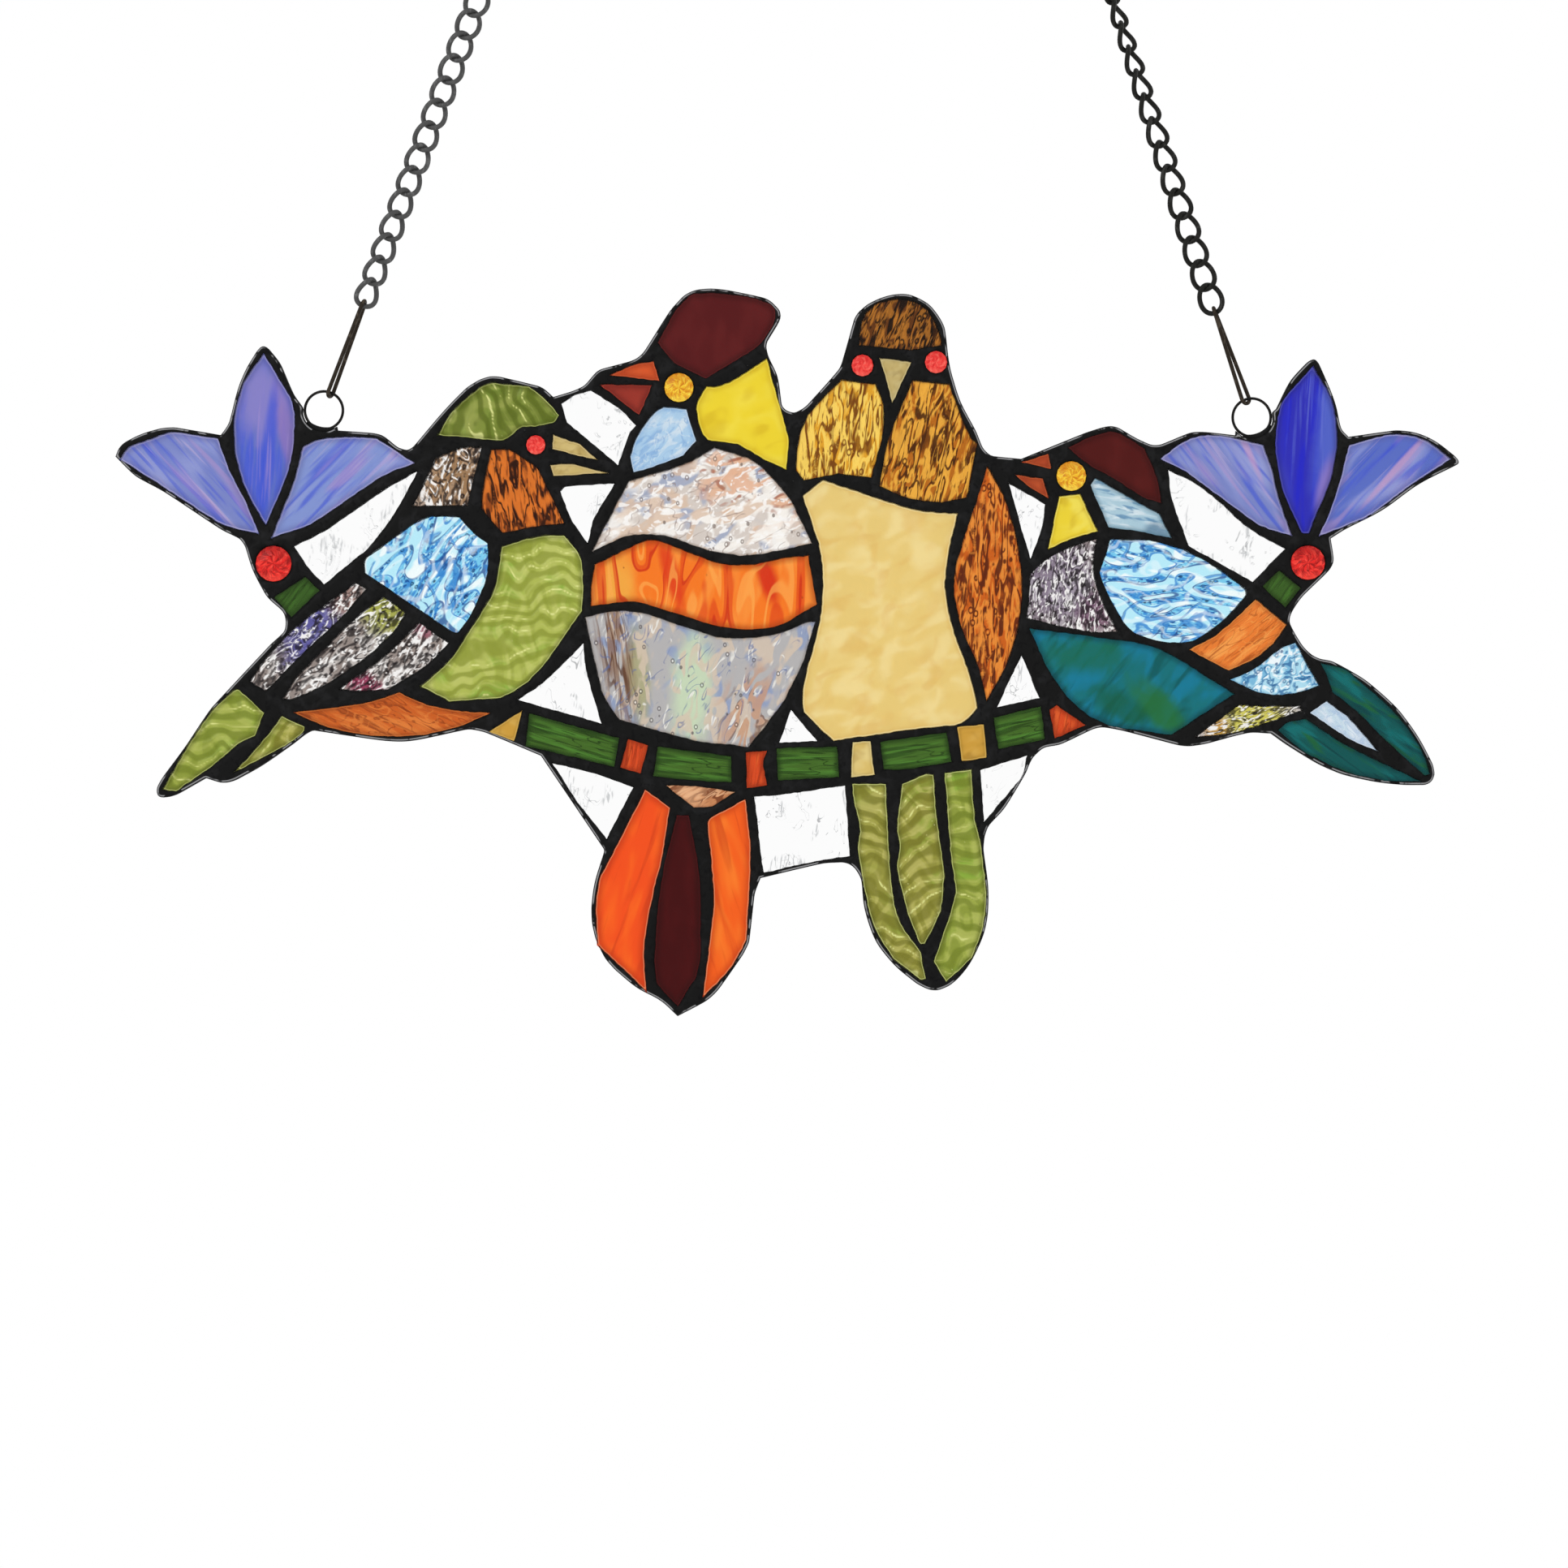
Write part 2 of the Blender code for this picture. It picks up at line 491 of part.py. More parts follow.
# Colours of the sheets, by the first name that a node's name starts with.
SHEET_COLOURS = [
    ("petal_2_middle", (0.10, 0.09, 0.50)),
    ("petal", (0.20, 0.27, 0.68)),
    ("clear", (0.90, 0.92, 0.91)),
    ("bird_1_head", (0.24, 0.32, 0.03)),
    ("bird_1_collar", (0.30, 0.30, 0.26)),
    ("bird_1_feather", (0.30, 0.27, 0.30)),
    ("bird_1_cheek", (0.30, 0.10, 0.02)),
    ("bird_1_wing", (0.50, 0.80, 0.90)),
    ("bird_1_belly", (0.36, 0.48, 0.08)),
    ("bird_1_underbelly", (0.62, 0.13, 0.02)),
    ("bird_1_tail", (0.36, 0.50, 0.07)),
    ("bird_2_crest", (0.13, 0.02, 0.02)),
    ("bird_2_throat", (0.45, 0.63, 0.78)),
    ("bird_2_neck", (0.83, 0.62, 0.05)),
    ("bird_2_band", (0.90, 0.17, 0.01)),
    ("bird_2_body", (0.55, 0.56, 0.55)),
    ("bird_2_tail_middle", (0.09, 0.01, 0.01)),
    ("bird_2_tail", (0.90, 0.13, 0.01)),
    ("bird_3_crown", (0.08, 0.03, 0.01)),
    ("bird_3_shoulder_left", (0.72, 0.36, 0.03)),
    ("bird_3_shoulder_right", (0.40, 0.13, 0.01)),
    ("bird_3_body", (0.85, 0.67, 0.26)),
    ("bird_3_wing", (0.48, 0.10, 0.01)),
    ("bird_3_tail", (0.38, 0.40, 0.06)),
    ("bird_4_crown", (0.15, 0.02, 0.02)),
    ("bird_4_throat", (0.80, 0.60, 0.04)),
    ("bird_4_neck", (0.40, 0.60, 0.75)),
    ("bird_4_shoulder", (0.30, 0.25, 0.28)),
    ("bird_4_wing", (0.45, 0.78, 0.88)),
    ("bird_4_belly", (0.01, 0.20, 0.23)),
    ("bird_4_rump", (0.80, 0.22, 0.03)),
    ("bird_4_flank", (0.55, 0.78, 0.90)),
    ("bird_4_vent", (0.60, 0.58, 0.12)),
    ("bird_4_tail", (0.01, 0.13, 0.14)),
]


def clear_scene():
    for block in list(bpy.data.objects):
        bpy.data.objects.remove(block, do_unlink=True)


def on_sheet(x, z, y=0.0):
    """A point of the pattern sheet, in millimetres, as a point of the object's frame, in metres."""
    return Vector(((x - HANG_X) * MM, y * MM, (z - HANG_Z) * MM))


def material(name, colour, roughness, metallic=0.0):
    made = bpy.data.materials.new(name)
    made.use_nodes = True
    shader = made.node_tree.nodes["Principled BSDF"]
    shader.inputs["Base Color"].default_value = (*colour, 1.0)
    shader.inputs["Roughness"].default_value = roughness
    shader.inputs["Metallic"].default_value = metallic
    made.diffuse_color = (*colour, 1.0)
    return made


def add_object(name, shape, made):
    mesh = bpy.data.meshes.new(name)
    bmesh.ops.remove_doubles(shape, verts=shape.verts, dist=1e-7)
    bmesh.ops.recalc_face_normals(shape, faces=shape.faces)
    shape.to_mesh(mesh)
    shape.free()
    mesh.materials.append(made)
    result = bpy.data.objects.new(name, mesh)
    bpy.context.scene.collection.objects.link(result)
    return result


def side_points(points, steps=8):
    """A smooth run through the points, without its last one: a Catmull-Rom curve with free ends."""
    if len(points) == 2:
        return [Vector(points[0])]
    run = [Vector(p) for p in points]
    run.insert(0, run[0] * 2 - run[1])
    run.append(run[-1] * 2 - run[-2])
    found = []
    for i in range(1, len(run) - 2):
        a, b, c, d = run[i - 1:i + 3]
        near = max((b - a).length ** 0.5, 1e-3)
        mid = max((c - b).length ** 0.5, 1e-3)
        far = max((d - c).length ** 0.5, 1e-3)
        leave = ((b - a) / near - (c - a) / (near + mid) + (c - b) / mid) * mid
        arrive = ((c - b) / mid - (d - b) / (mid + far) + (d - c) / far) * mid
        for k in range(steps):
            t = k / steps
            found.append(
                b * (2 * t ** 3 - 3 * t ** 2 + 1) + leave * (t ** 3 - 2 * t ** 2 + t)
                + c * (3 * t ** 2 - 2 * t ** 3) + arrive * (t ** 3 - t ** 2)
            )
    return found


def thin_out(points, tolerance):
    """Leaves out the points of an open run that lie within the tolerance of the line past them."""
    if len(points) < 3:
        return points
    first, last = points[0], points[-1]
    along = last - first
    length = max(along.length, 1e-9)
    worst, where = 0.0, 0
    for i in range(1, len(points) - 1):
        offset = points[i] - first
        distance = abs(along.x * offset.y - along.y * offset.x) / length
        if distance > worst:
            worst, where = distance, i
    if worst <= tolerance:
        return [first, last]
    return thin_out(points[:where + 1], tolerance)[:-1] + thin_out(points[where:], tolerance)


def outline_points(sides, tolerance=OUTLINE_TOLERANCE):
    """The closed outline's points, corner by corner."""
    found = []
    for side, following in zip(sides, sides[1:] + sides[:1]):
        whole = list(side) + [following[0]]
        run = side_points(whole) + [Vector(whole[-1])]
        found.extend(thin_out(run, tolerance)[:-1])
    return found


def circle_points(centre, radius, count=12):
    turn = 2 * math.pi / count
    return [
        Vector((centre[0] + radius * math.cos(turn * i), centre[1] + radius * math.sin(turn * i)))
        for i in range(count)
    ]


def signed_area(points):
    return 0.5 * sum(a.x * b.y - b.x * a.y for a, b in zip(points, points[1:] + points[:1]))


def shrunk(points, inset):
    """The outline moved inwards by the inset, corner by corner."""
    turn = 1.0 if signed_area(points) > 0 else -1.0
    found = []
    count = len(points)
    for i in range(count):
        before = (points[i] - points[i - 1]).normalized()
        after = (points[(i + 1) % count] - points[i]).normalized()
        inward_before = Vector((-before.y, before.x)) * turn
        inward_after = Vector((-after.y, after.x)) * turn
        middle = inward_before + inward_after
        if middle.length < 1e-6:
            middle = inward_before
        middle.normalize()
        reach = inset / max(middle.dot(inward_before), 0.35)
        found.append(points[i] + middle * reach)
    return found


def fill(rings):
    """Triangles between an outer ring and its holes, as index triples into the joined points."""
    points = [p for ring in rings for p in ring]
    edges = []
    start = 0
    for ring in rings:
        count = len(ring)
        edges += [(start + i, start + (i + 1) % count) for i in range(count)]
        start += count
    _, _, triangles, origins, _, _ = delaunay_2d_cdt(points, edges, [], 0, 1e-6, True)
    kept = []
    for corners in triangles:
        indexes = [origins[i][0] for i in corners] if origins else list(corners)
        middle = sum((points[i] for i in indexes), Vector((0, 0))) / 3
        inside = sum(1 for ring in rings if contains(ring, middle))
        if inside == 1:
            kept.append(indexes)
    return points, kept


def contains(ring, point):
    found = False
    for a, b in zip(ring, ring[1:] + ring[:1]):
        if (a.y > point.y) != (b.y > point.y):
            if point.x < a.x + (point.y - a.y) / (b.y - a.y) * (b.x - a.x):
                found = not found
    return found


def add_wall(shape, ring, y_from, y_to):
    """A band of faces along a closed ring, between two depths."""
    near = [shape.verts.new(on_sheet(p.x, p.y, y_from)) for p in ring]
    far = [shape.verts.new(on_sheet(p.x, p.y, y_to)) for p in ring]
    count = len(ring)
    for i in range(count):
        j = (i + 1) % count
        shape.faces.new((near[i], near[j], far[j], far[i]))


def add_cap(shape, rings, y):
    points, triangles = fill(rings)
    verts = [shape.verts.new(on_sheet(p.x, p.y, y)) for p in points]
    for a, b, c in triangles:
        shape.faces.new((verts[a], verts[b], verts[c]))


def add_dome(shape, ring, centre, y_edge, y_top):
    """A low dome over a round ring: one inner ring and a top point."""
    middle = Vector(centre)
    inner = [middle + (p - middle) * 0.62 for p in ring]
    y_inner = y_edge + (y_top - y_edge) * 0.72
    outer_verts = [shape.verts.new(on_sheet(p.x, p.y, y_edge)) for p in ring]
    inner_verts = [shape.verts.new(on_sheet(p.x, p.y, y_inner)) for p in inner]
    top = shape.verts.new(on_sheet(middle.x, middle.y, y_top))
    count = len(ring)
    for i in range(count):
        j = (i + 1) % count
        shape.faces.new((outer_verts[i], outer_verts[j], inner_verts[j], inner_verts[i]))
        shape.faces.new((inner_verts[i], inner_verts[j], top))


def build_leading():
    """The soldered leading, with an opening for each sheet of glass and a pad for each small tile."""
    half = LEADING_THICKNESS / 2
    pad = PAD_THICKNESS / 2
    outer = outline_points(OUTER_EDGE, OUTER_TOLERANCE)
    openings = [outline_points(sides) for sides in GLASS.values()]
    pads = [outline_points(sides) for sides in SMALL_TILES.values()]
    rounds = [(circle_points(centre, radius), centre, radius) for centre, radius in ROUND_TILES.values()]
    rings = [outer] + openings + pads + [ring for ring, _, _ in rounds]
    shape = bmesh.new()
    add_cap(shape, rings, -half)
    add_cap(shape, rings, half)
    for ring in [outer] + openings:
        add_wall(shape, ring, -half, half)
    for ring in pads:
        for face in (-1, 1):
            add_wall(shape, ring, face * half, face * pad)
            add_cap(shape, [ring], face * pad)
    for ring, centre, radius in rounds:
        rise = JEWEL_RISE * radius / 6.9
        for face in (-1, 1):
            add_wall(shape, ring, face * half, face * pad)
            add_dome(shape, ring, centre, face * pad, face * (pad + rise))
    return add_object("leading", shape, material("leading", (0.02, 0.02, 0.02), 0.42, 0.6))


def sheet_colour(name):
    for start, colour in SHEET_COLOURS:
        if name.startswith(start):
            return colour
    raise ValueError(name)


def build_sheet(name, sides):
    """One sheet of glass, a little smaller than its opening."""
    ring = shrunk(outline_points(sides), GLASS_GAP)
    half = GLASS_THICKNESS / 2
    shape = bmesh.new()
    add_cap(shape, [ring], -half)
    add_cap(shape, [ring], half)
    add_wall(shape, ring, -half, half)
    return add_object(name, shape, material(name, sheet_colour(name), 0.15))


def tube(shape, centres, wire, sides):
    """A closed wire through a closed loop of centre points."""
    count = len(centres)
    loops = []
    normal = None
    for i in range(count):
        along = (centres[(i + 1) % count] - centres[i - 1]).normalized()
        if normal is None:
            normal = along.orthogonal().normalized()
        normal = (normal - along * normal.dot(along)).normalized()
        across = along.cross(normal)
        loops.append([
            shape.verts.new(centres[i] + (normal * math.cos(a) + across * math.sin(a)) * wire)
            for a in (2 * math.pi * k / sides for k in range(sides))
        ])
    last, first = loops[-1], loops[0]
    shift = min(range(sides), key=lambda s: (last[0].co - first[s].co).length)
    for i in range(count):
        here = loops[i]
        there = loops[(i + 1) % count]
        turn = shift if i == count - 1 else 0
        for k in range(sides):
            shape.faces.new((
                here[k], here[(k + 1) % sides],
                there[(k + 1 + turn) % sides], there[(k + turn) % sides],
            ))


def build_ring(name, centre, made):
    shape = bmesh.new()
    count = 16
    circle = [
        on_sheet(
            centre[0] + RING_RADIUS * math.cos(2 * math.pi * i / count),
            centre[1] + RING_RADIUS * math.sin(2 * math.pi * i / count),
        )
        for i in range(count)
    ]
    tube(shape, circle, RING_WIRE * MM, 5)
    return add_object(name, shape, made)


def frame_along(direction, turn):
    """Unit vectors along a run in the sheet's plane, and across it, turned about the run."""
    along = Vector((direction[0], 0, direction[1])).normalized()
    flat = Vector((0, 1, 0)).cross(along).normalized()
    across = Matrix.Rotation(math.radians(turn), 3, along) @ flat
    return along, across, along.cross(across)


def half_length(step):
    """Half of a link's length, such that each link bears on the next one in one place."""
    return Vector(step).length / 2 + LINK_WIRE - LINK_BITE / 2


def hook_ends(ring, start, step):
    """Where the hook's wire turns: just inside the ring, and just inside the lowest link."""
    along = Vector(step).normalized()
    lift = RING_RADIUS - RING_WIRE - HOOK_WIRE - HOOK_GAP
    low = Vector(ring) + along * lift
    drop = half_length(step) - LINK_WIRE - HOOK_WIRE - HOOK_GAP
    high = Vector(start) - along * drop
    return low, high


def build_hook(name, ring, start, step, turns, made):
    """A long closed wire eye that joins a ring to the lowest link, twisted from one end to the other."""
    low, high = hook_ends(ring, start, step)
    run = high - low
    length = run.length
    bend = HOOK_HALF_WIDTH
    straight = length - 2 * bend
    path = []
    for i in range(7):
        angle = math.pi * i / 6
        path.append((math.cos(angle), length - bend + bend * math.sin(angle)))
    for i in range(1, 4):
        path.append((-1.0, length - bend - straight * i / 4))
    for i in range(7):
        angle = math.pi + math.pi * i / 6
        path.append((math.cos(angle), bend + bend * math.sin(angle)))
    for i in range(1, 4):
        path.append((1.0, bend + straight * i / 4))
    centres = []
    for side, height in path:
        part = height / length
        along, across, _ = frame_along(run, turns[0] + (turns[1] - turns[0]) * part)
        base = on_sheet(low.x, low.y)
        centres.append(base + along * height * MM + across * side * HOOK_HALF_WIDTH * MM)
    shape = bmesh.new()
    tube(shape, centres, HOOK_WIRE * MM, 5)
    return add_object(name, shape, made)


def link_shape(centre, step, turn):
    """One curb link: an oval of wire twisted so that it lies flat in the next one."""
    along, across, out = frame_along(step, turn)
    centres = []
    for i in range(LINK_STEPS):
        angle = 2 * math.pi * (i + 0.5) / LINK_STEPS
        centres.append(
            on_sheet(*centre)
            + across * LINK_HALF_WIDTH * math.cos(angle) * MM
            + along * half_length(step) * math.sin(angle) * MM
            + out * LINK_TWIST * math.sin(2 * angle) * MM
        )
    shape = bmesh.new()
    tube(shape, centres, LINK_WIRE * MM, LINK_SIDES)
    return shape


def build_chain(name, start, step, count, turns, made):
    """All links of one chain, united where they touch."""
    links = []
    for i in range(count):
        centre = (start[0] + step[0] * i, start[1] + step[1] * i)
        turn = turns[0] + (turns[1] - turns[0]) * i / (count - 1)
        links.append(add_object(f"{name}_{i:02d}", link_shape(centre, step, turn), made))
    chain = links[0]
    for link in links[1:]:
        cut = chain.modifiers.new("join", "BOOLEAN")
        cut.operation = "UNION"
        cut.solver = "EXACT"
        cut.object = link
        graph = bpy.context.evaluated_depsgraph_get()
        graph.update()
        joined = bpy.data.meshes.new_from_object(chain.evaluated_get(graph))
        chain.modifiers.clear()
        chain.data = joined
        bpy.data.objects.remove(link, do_unlink=True)
    chain.name = name
    chain.data.name = name
    return chain


def main():
    clear_scene()
    build_leading()
    for name, sides in GLASS.items():
        build_sheet(name, sides)
    wire = material("wire", (0.03, 0.028, 0.025), 0.4, 0.8)
    build_ring("ring_left", RING_1, wire)
    build_ring("ring_right", RING_2, wire)
    build_hook("hook_left", RING_1, CHAIN_1_START, CHAIN_1_STEP, (70, 85), wire)
    build_hook("hook_right", RING_2, CHAIN_2_START, CHAIN_2_STEP, (40, 80), wire)
    chain = material("chain", (0.06, 0.06, 0.06), 0.4, 0.8)
    build_chain("chain_left", CHAIN_1_START, CHAIN_1_STEP, CHAIN_1_LINKS, CHAIN_1_TURN, chain)
    build_chain("chain_right", CHAIN_2_START, CHAIN_2_STEP, CHAIN_2_LINKS, CHAIN_2_TURN, chain)


main()
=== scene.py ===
"""Stained glass suncatcher: four birds on a branch between two flowers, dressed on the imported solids.

The panel is laid out on a flat pattern sheet in millimetres, x to the right and z up from the panel's
lower left corner. The object's origin is the middle between the two end links. The front faces -Y.
"""

import math

import bmesh
import bpy
import numpy as np
from bpy.props import FloatProperty, FloatVectorProperty, IntProperty, PointerProperty
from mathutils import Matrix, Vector
from mathutils.geometry import delaunay_2d_cdt
from mathutils.kdtree import KDTree


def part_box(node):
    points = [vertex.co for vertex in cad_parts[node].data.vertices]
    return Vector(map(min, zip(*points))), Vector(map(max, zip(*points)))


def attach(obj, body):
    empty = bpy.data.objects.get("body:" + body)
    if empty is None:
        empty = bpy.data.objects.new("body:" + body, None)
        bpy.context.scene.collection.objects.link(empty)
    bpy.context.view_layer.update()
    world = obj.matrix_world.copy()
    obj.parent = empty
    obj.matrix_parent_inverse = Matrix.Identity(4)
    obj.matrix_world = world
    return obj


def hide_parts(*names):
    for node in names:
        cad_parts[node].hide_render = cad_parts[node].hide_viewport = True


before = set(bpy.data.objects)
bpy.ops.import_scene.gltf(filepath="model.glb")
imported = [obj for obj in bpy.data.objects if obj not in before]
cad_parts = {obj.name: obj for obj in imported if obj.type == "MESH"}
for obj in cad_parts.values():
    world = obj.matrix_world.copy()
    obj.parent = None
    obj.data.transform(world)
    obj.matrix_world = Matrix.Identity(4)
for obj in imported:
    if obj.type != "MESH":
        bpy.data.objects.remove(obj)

bl_info = {
    "name": "Stained glass suncatcher",
    "version": (1, 0, 0),
    "blender": (4, 5, 0),
    "location": "3D View > Sidebar > Suncatcher",
    "description": "Builds a hanging panel of leaded glass birds, flowers and branch, with its chains",
    "category": "Add Mesh",
}

MM = 0.001

# The object's origin on the sheet.
HANG_X = 268.7
HANG_Z = 411.2

# The height of a row of even triangles, for a spacing of 1.
ROW_HEIGHT = 0.8660254

# Each chain: its lowest link's place, the step to the next link, how many links, and the first and last turn.
CHAIN_LEFT = ((99.3, 285.2), (3.31, 8.81), 15, (40.0, 5.0))
CHAIN_RIGHT = ((431.6, 282.7), (-3.07, 9.4), 14, (0.0, 66.0))

# The hanging rings' middles.
RING_LEFT = (82.0, 238.8)
RING_RIGHT = (447.8, 236.0)

# A turn of the outline, in radians, that is a corner by itself, and one that is a corner beside long sides.
SHARP_TURN = 1.1
SLIGHT_TURN = 0.24
CORNER_WEIGHT = 3.0

# Less than real glass has, because the photographed panel is lit from behind and mirrors nothing of the room.
GLASS_IOR = 1.2

# Points and steps of the wires' paths, and the sizes of a round stone.
LINK_POINTS = 36
HOOK_BEND_STEPS = 16
HOOK_SIDE_STEPS = 24
GIRDLE_HALF = 1.25
CROWN_RISE = 2.6
CROWN_RADIUS = 6.9


def linear(red, green, blue):
    """A colour as the eye reads it, 0 to 255, as the shader's linear values."""
    values = [v / 255.0 for v in (red, green, blue)]
    return tuple(v / 12.92 if v <= 0.04045 else ((v + 0.055) / 1.055) ** 2.4 for v in values)


def tone(name, description, red, green, blue):
    return FloatVectorProperty(
        name=name, description=description, default=linear(red, green, blue),
        subtype="COLOR", size=3, min=0.0, max=1.0,
    )


def length(name, description, millimetres):
    return FloatProperty(
        name=name, description=description, default=millimetres * MM, min=0.0,
        subtype="DISTANCE", unit="LENGTH",
    )


class SUNCATCHER_leading_sizes(bpy.types.PropertyGroup):
    grid: length("Grid", "Distance between the points of the solder's surface", 0.95)
    crest: length("Crest", "Half the leading's thickness at the top of a bead", 2.42)
    shore: length("Shore", "Half the leading's thickness where it meets the glass", 1.1)
    shoulder: length("Shoulder", "Distance over which a bead rises to its crest", 2.3)
    lumps: length("Lumps", "Height of the solder's unevenness", 0.16)


class SUNCATCHER_glass_sizes(bpy.types.PropertyGroup):
    plain_grid: length("Plain grid", "Distance between the points of smooth glass", 1.5)
    rolled_grid: length("Rolled grid", "Distance between the points of rippled glass", 0.75)
    fine_grid: length("Fine grid", "Distance between the points of bark and crinkled glass", 0.6)
    half: length("Half thickness", "Half the thickness of a sheet", 1.5)
    tile_half: length("Tile half thickness", "Half the thickness of a small tile", 1.32)
    tuck: length("Tuck", "How far a sheet runs under the solder", 0.5)


class SUNCATCHER_wire_sizes(bpy.types.PropertyGroup):
    link_wire: length("Link wire", "Radius of the chain's wire", 1.0)
    link_half_width: length("Link half width", "Half a link's width, to the wire's centre", 4.3)
    link_twist: length("Link twist", "How far a link's sides are twisted out of its plane", 1.4)
    ring_radius: length("Ring radius", "Radius of a hanging ring, to the wire's centre", 7.5)
    ring_wire: length("Ring wire", "Radius of a hanging ring's wire", 0.55)
    hook_wire: length("Hook wire", "Radius of the hooks' wire", 0.8)
    hook_half_width: length("Hook half width", "Half a hook's width, to the wire's centre", 2.15)
    sides: IntProperty(name="Sides", description="Sides round a wire", default=10, min=6, max=24)


class SUNCATCHER_glass_colours(bpy.types.PropertyGroup):
    jewel: tone("Jewel", "Red of the flowers' jewels", 238, 44, 40)
    eye_red: tone("Red eye", "Red of the small round eyes", 248, 72, 66)
    eye_amber: tone("Amber eye", "Amber of the larger round eyes", 246, 192, 46)
    clear: tone("Clear", "Colourless background glass", 252, 252, 252)
    tan: tone("Tan", "Tan of the beaks", 212, 188, 118)
    solder: tone("Solder", "Black patina of the leading", 22, 22, 22)


class SUNCATCHER_stage_sizes(bpy.types.PropertyGroup):
    camera_distance: length("Camera distance", "From the camera to the panel's plane", 1459.7)
    camera_x: FloatProperty(name="Camera X", description="Camera's place", default=-0.0053, unit="LENGTH")
    camera_z: FloatProperty(name="Camera Z", description="Camera's height", default=-0.3197, unit="LENGTH")
    floor_z: FloatProperty(name="Floor Z", description="Height of the floor", default=-1.05, unit="LENGTH")
    floor_radius: length("Floor radius", "Radius of the pale floor", 1100.0)


# Outlines, read from the solids


def merged_copy(node):
    """A copy of a solid's mesh with its loose triangles joined."""
    shape = bmesh.new()
    shape.from_mesh(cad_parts[node].data)
    bmesh.ops.remove_doubles(shape, verts=shape.verts, dist=1e-6)
    return shape


def face_rings(node, depth):
    """The outlines of a solid's flat face at one depth, in the sheet's millimetres."""
    shape = merged_copy(node)
    flat = {f for f in shape.faces if all(abs(v.co.y / MM - depth) < 0.02 for v in f.verts)}
    follows = {}
    for face in flat:
        for loop in face.loops:
            if sum(f in flat for f in loop.edge.link_faces) == 1:
                follows.setdefault(loop.vert.index, []).append(loop.link_loop_next.vert.index)
    shape.verts.ensure_lookup_table()
    rings = []
    while follows:
        start = next(iter(follows))
        ring = []
        here = start
        while here in follows:
            ring.append(here)
            there = follows[here].pop()
            if not follows[here]:
                del follows[here]
            here = there
        rings.append(np.array([
            (shape.verts[i].co.x / MM + HANG_X, shape.verts[i].co.z / MM + HANG_Z) for i in ring
        ]))
    shape.free()
    return rings


def ring_area(ring):
    x, z = ring[:, 0], ring[:, 1]
    return 0.5 * float(np.sum(x * np.roll(z, -1) - np.roll(x, -1) * z))


def ring_middle(ring):
    x, z = ring[:, 0], ring[:, 1]
    cross = x * np.roll(z, -1) - np.roll(x, -1) * z
    area = cross.sum()
    return (
        float(((x + np.roll(x, -1)) * cross).sum() / 3 / area),
        float(((z + np.roll(z, -1)) * cross).sum() / 3 / area),
    )


def corners_of(ring):
    """True where the outline turns at a real corner and isn't part of a bend."""
    into = ring - np.roll(ring, 1, axis=0)
    out = np.roll(ring, -1, axis=0) - ring
    turn = np.abs(np.arctan2(into[:, 0] * out[:, 1] - into[:, 1] * out[:, 0], (into * out).sum(axis=1)))
    shorter = np.minimum(np.linalg.norm(into, axis=1), np.linalg.norm(out, axis=1))
    return (turn > SHARP_TURN) | ((turn > SLIGHT_TURN) & (turn * shorter > CORNER_WEIGHT))


def smooth_ring(ring, spacing):
    """The outline with its corners kept and its bends rounded."""
    count = len(ring)
    corner = corners_of(ring)
    step = np.roll(ring, -1, axis=0) - ring
    size = np.linalg.norm(step, axis=1)
    bend = step * size[:, None]
    points = []
    for i in range(count):
        j = (i + 1) % count
        start = step[i] if corner[i] else bend[i - 1] + bend[i]
        end = step[i] if corner[j] else bend[i] + bend[j]
        start = start / np.linalg.norm(start) * size[i]
        end = end / np.linalg.norm(end) * size[i]
        pieces = max(1, int(math.ceil(size[i] / spacing)))
        for k in range(pieces):
            t = k / pieces
            points.append(
                (2 * t**3 - 3 * t**2 + 1) * ring[i] + (t**3 - 2 * t**2 + t) * start
                + (3 * t**2 - 2 * t**3) * ring[j] + (t**3 - t**2) * end
            )
    return np.array(points)


def ragged_ring(ring, seed):
    """The slightly uneven edge that hand-cut glass and solder leave."""
    x, z = ring[:, 0], ring[:, 1]
    sway = 0.3 * (field(x, z, 6, 6, 0, seed) - 0.5) + 0.34 * (field(x, z, 1.7, 1.7, 0, seed + 1) - 0.5)
    into = ring - np.roll(ring, 1, axis=0)
    out = np.roll(ring, -1, axis=0) - ring
    across = into / np.linalg.norm(into, axis=1)[:, None] + out / np.linalg.norm(out, axis=1)[:, None]
    across = across / np.maximum(np.linalg.norm(across, axis=1), 1e-6)[:, None]
    return ring + np.stack([across[:, 1], -across[:, 0]], axis=1) * sway[:, None]


def round_ring(middle, radius, spacing):
    count = max(16, int(2 * math.pi * radius / spacing))
    angle = np.arange(count) * 2 * math.pi / count
    return np.stack([middle[0] + radius * np.cos(angle), middle[1] + radius * np.sin(angle)], axis=1)


def grown(ring, by):
    """The ring moved outwards, or inwards where by is negative."""
    if ring_area(ring) < 0:
        ring = ring[::-1]
    into = ring - np.roll(ring, 1, axis=0)
    out = np.roll(ring, -1, axis=0) - ring
    into = into / np.linalg.norm(into, axis=1)[:, None]
    out = out / np.linalg.norm(out, axis=1)[:, None]
    across = into + out
    across = across / np.maximum(np.linalg.norm(across, axis=1), 1e-6)[:, None]
    normal = np.stack([across[:, 1], -across[:, 0]], axis=1)
    bend = np.clip((across * out).sum(axis=1), 0.55, 1.0)
    return ring + normal * (by / bend)[:, None]


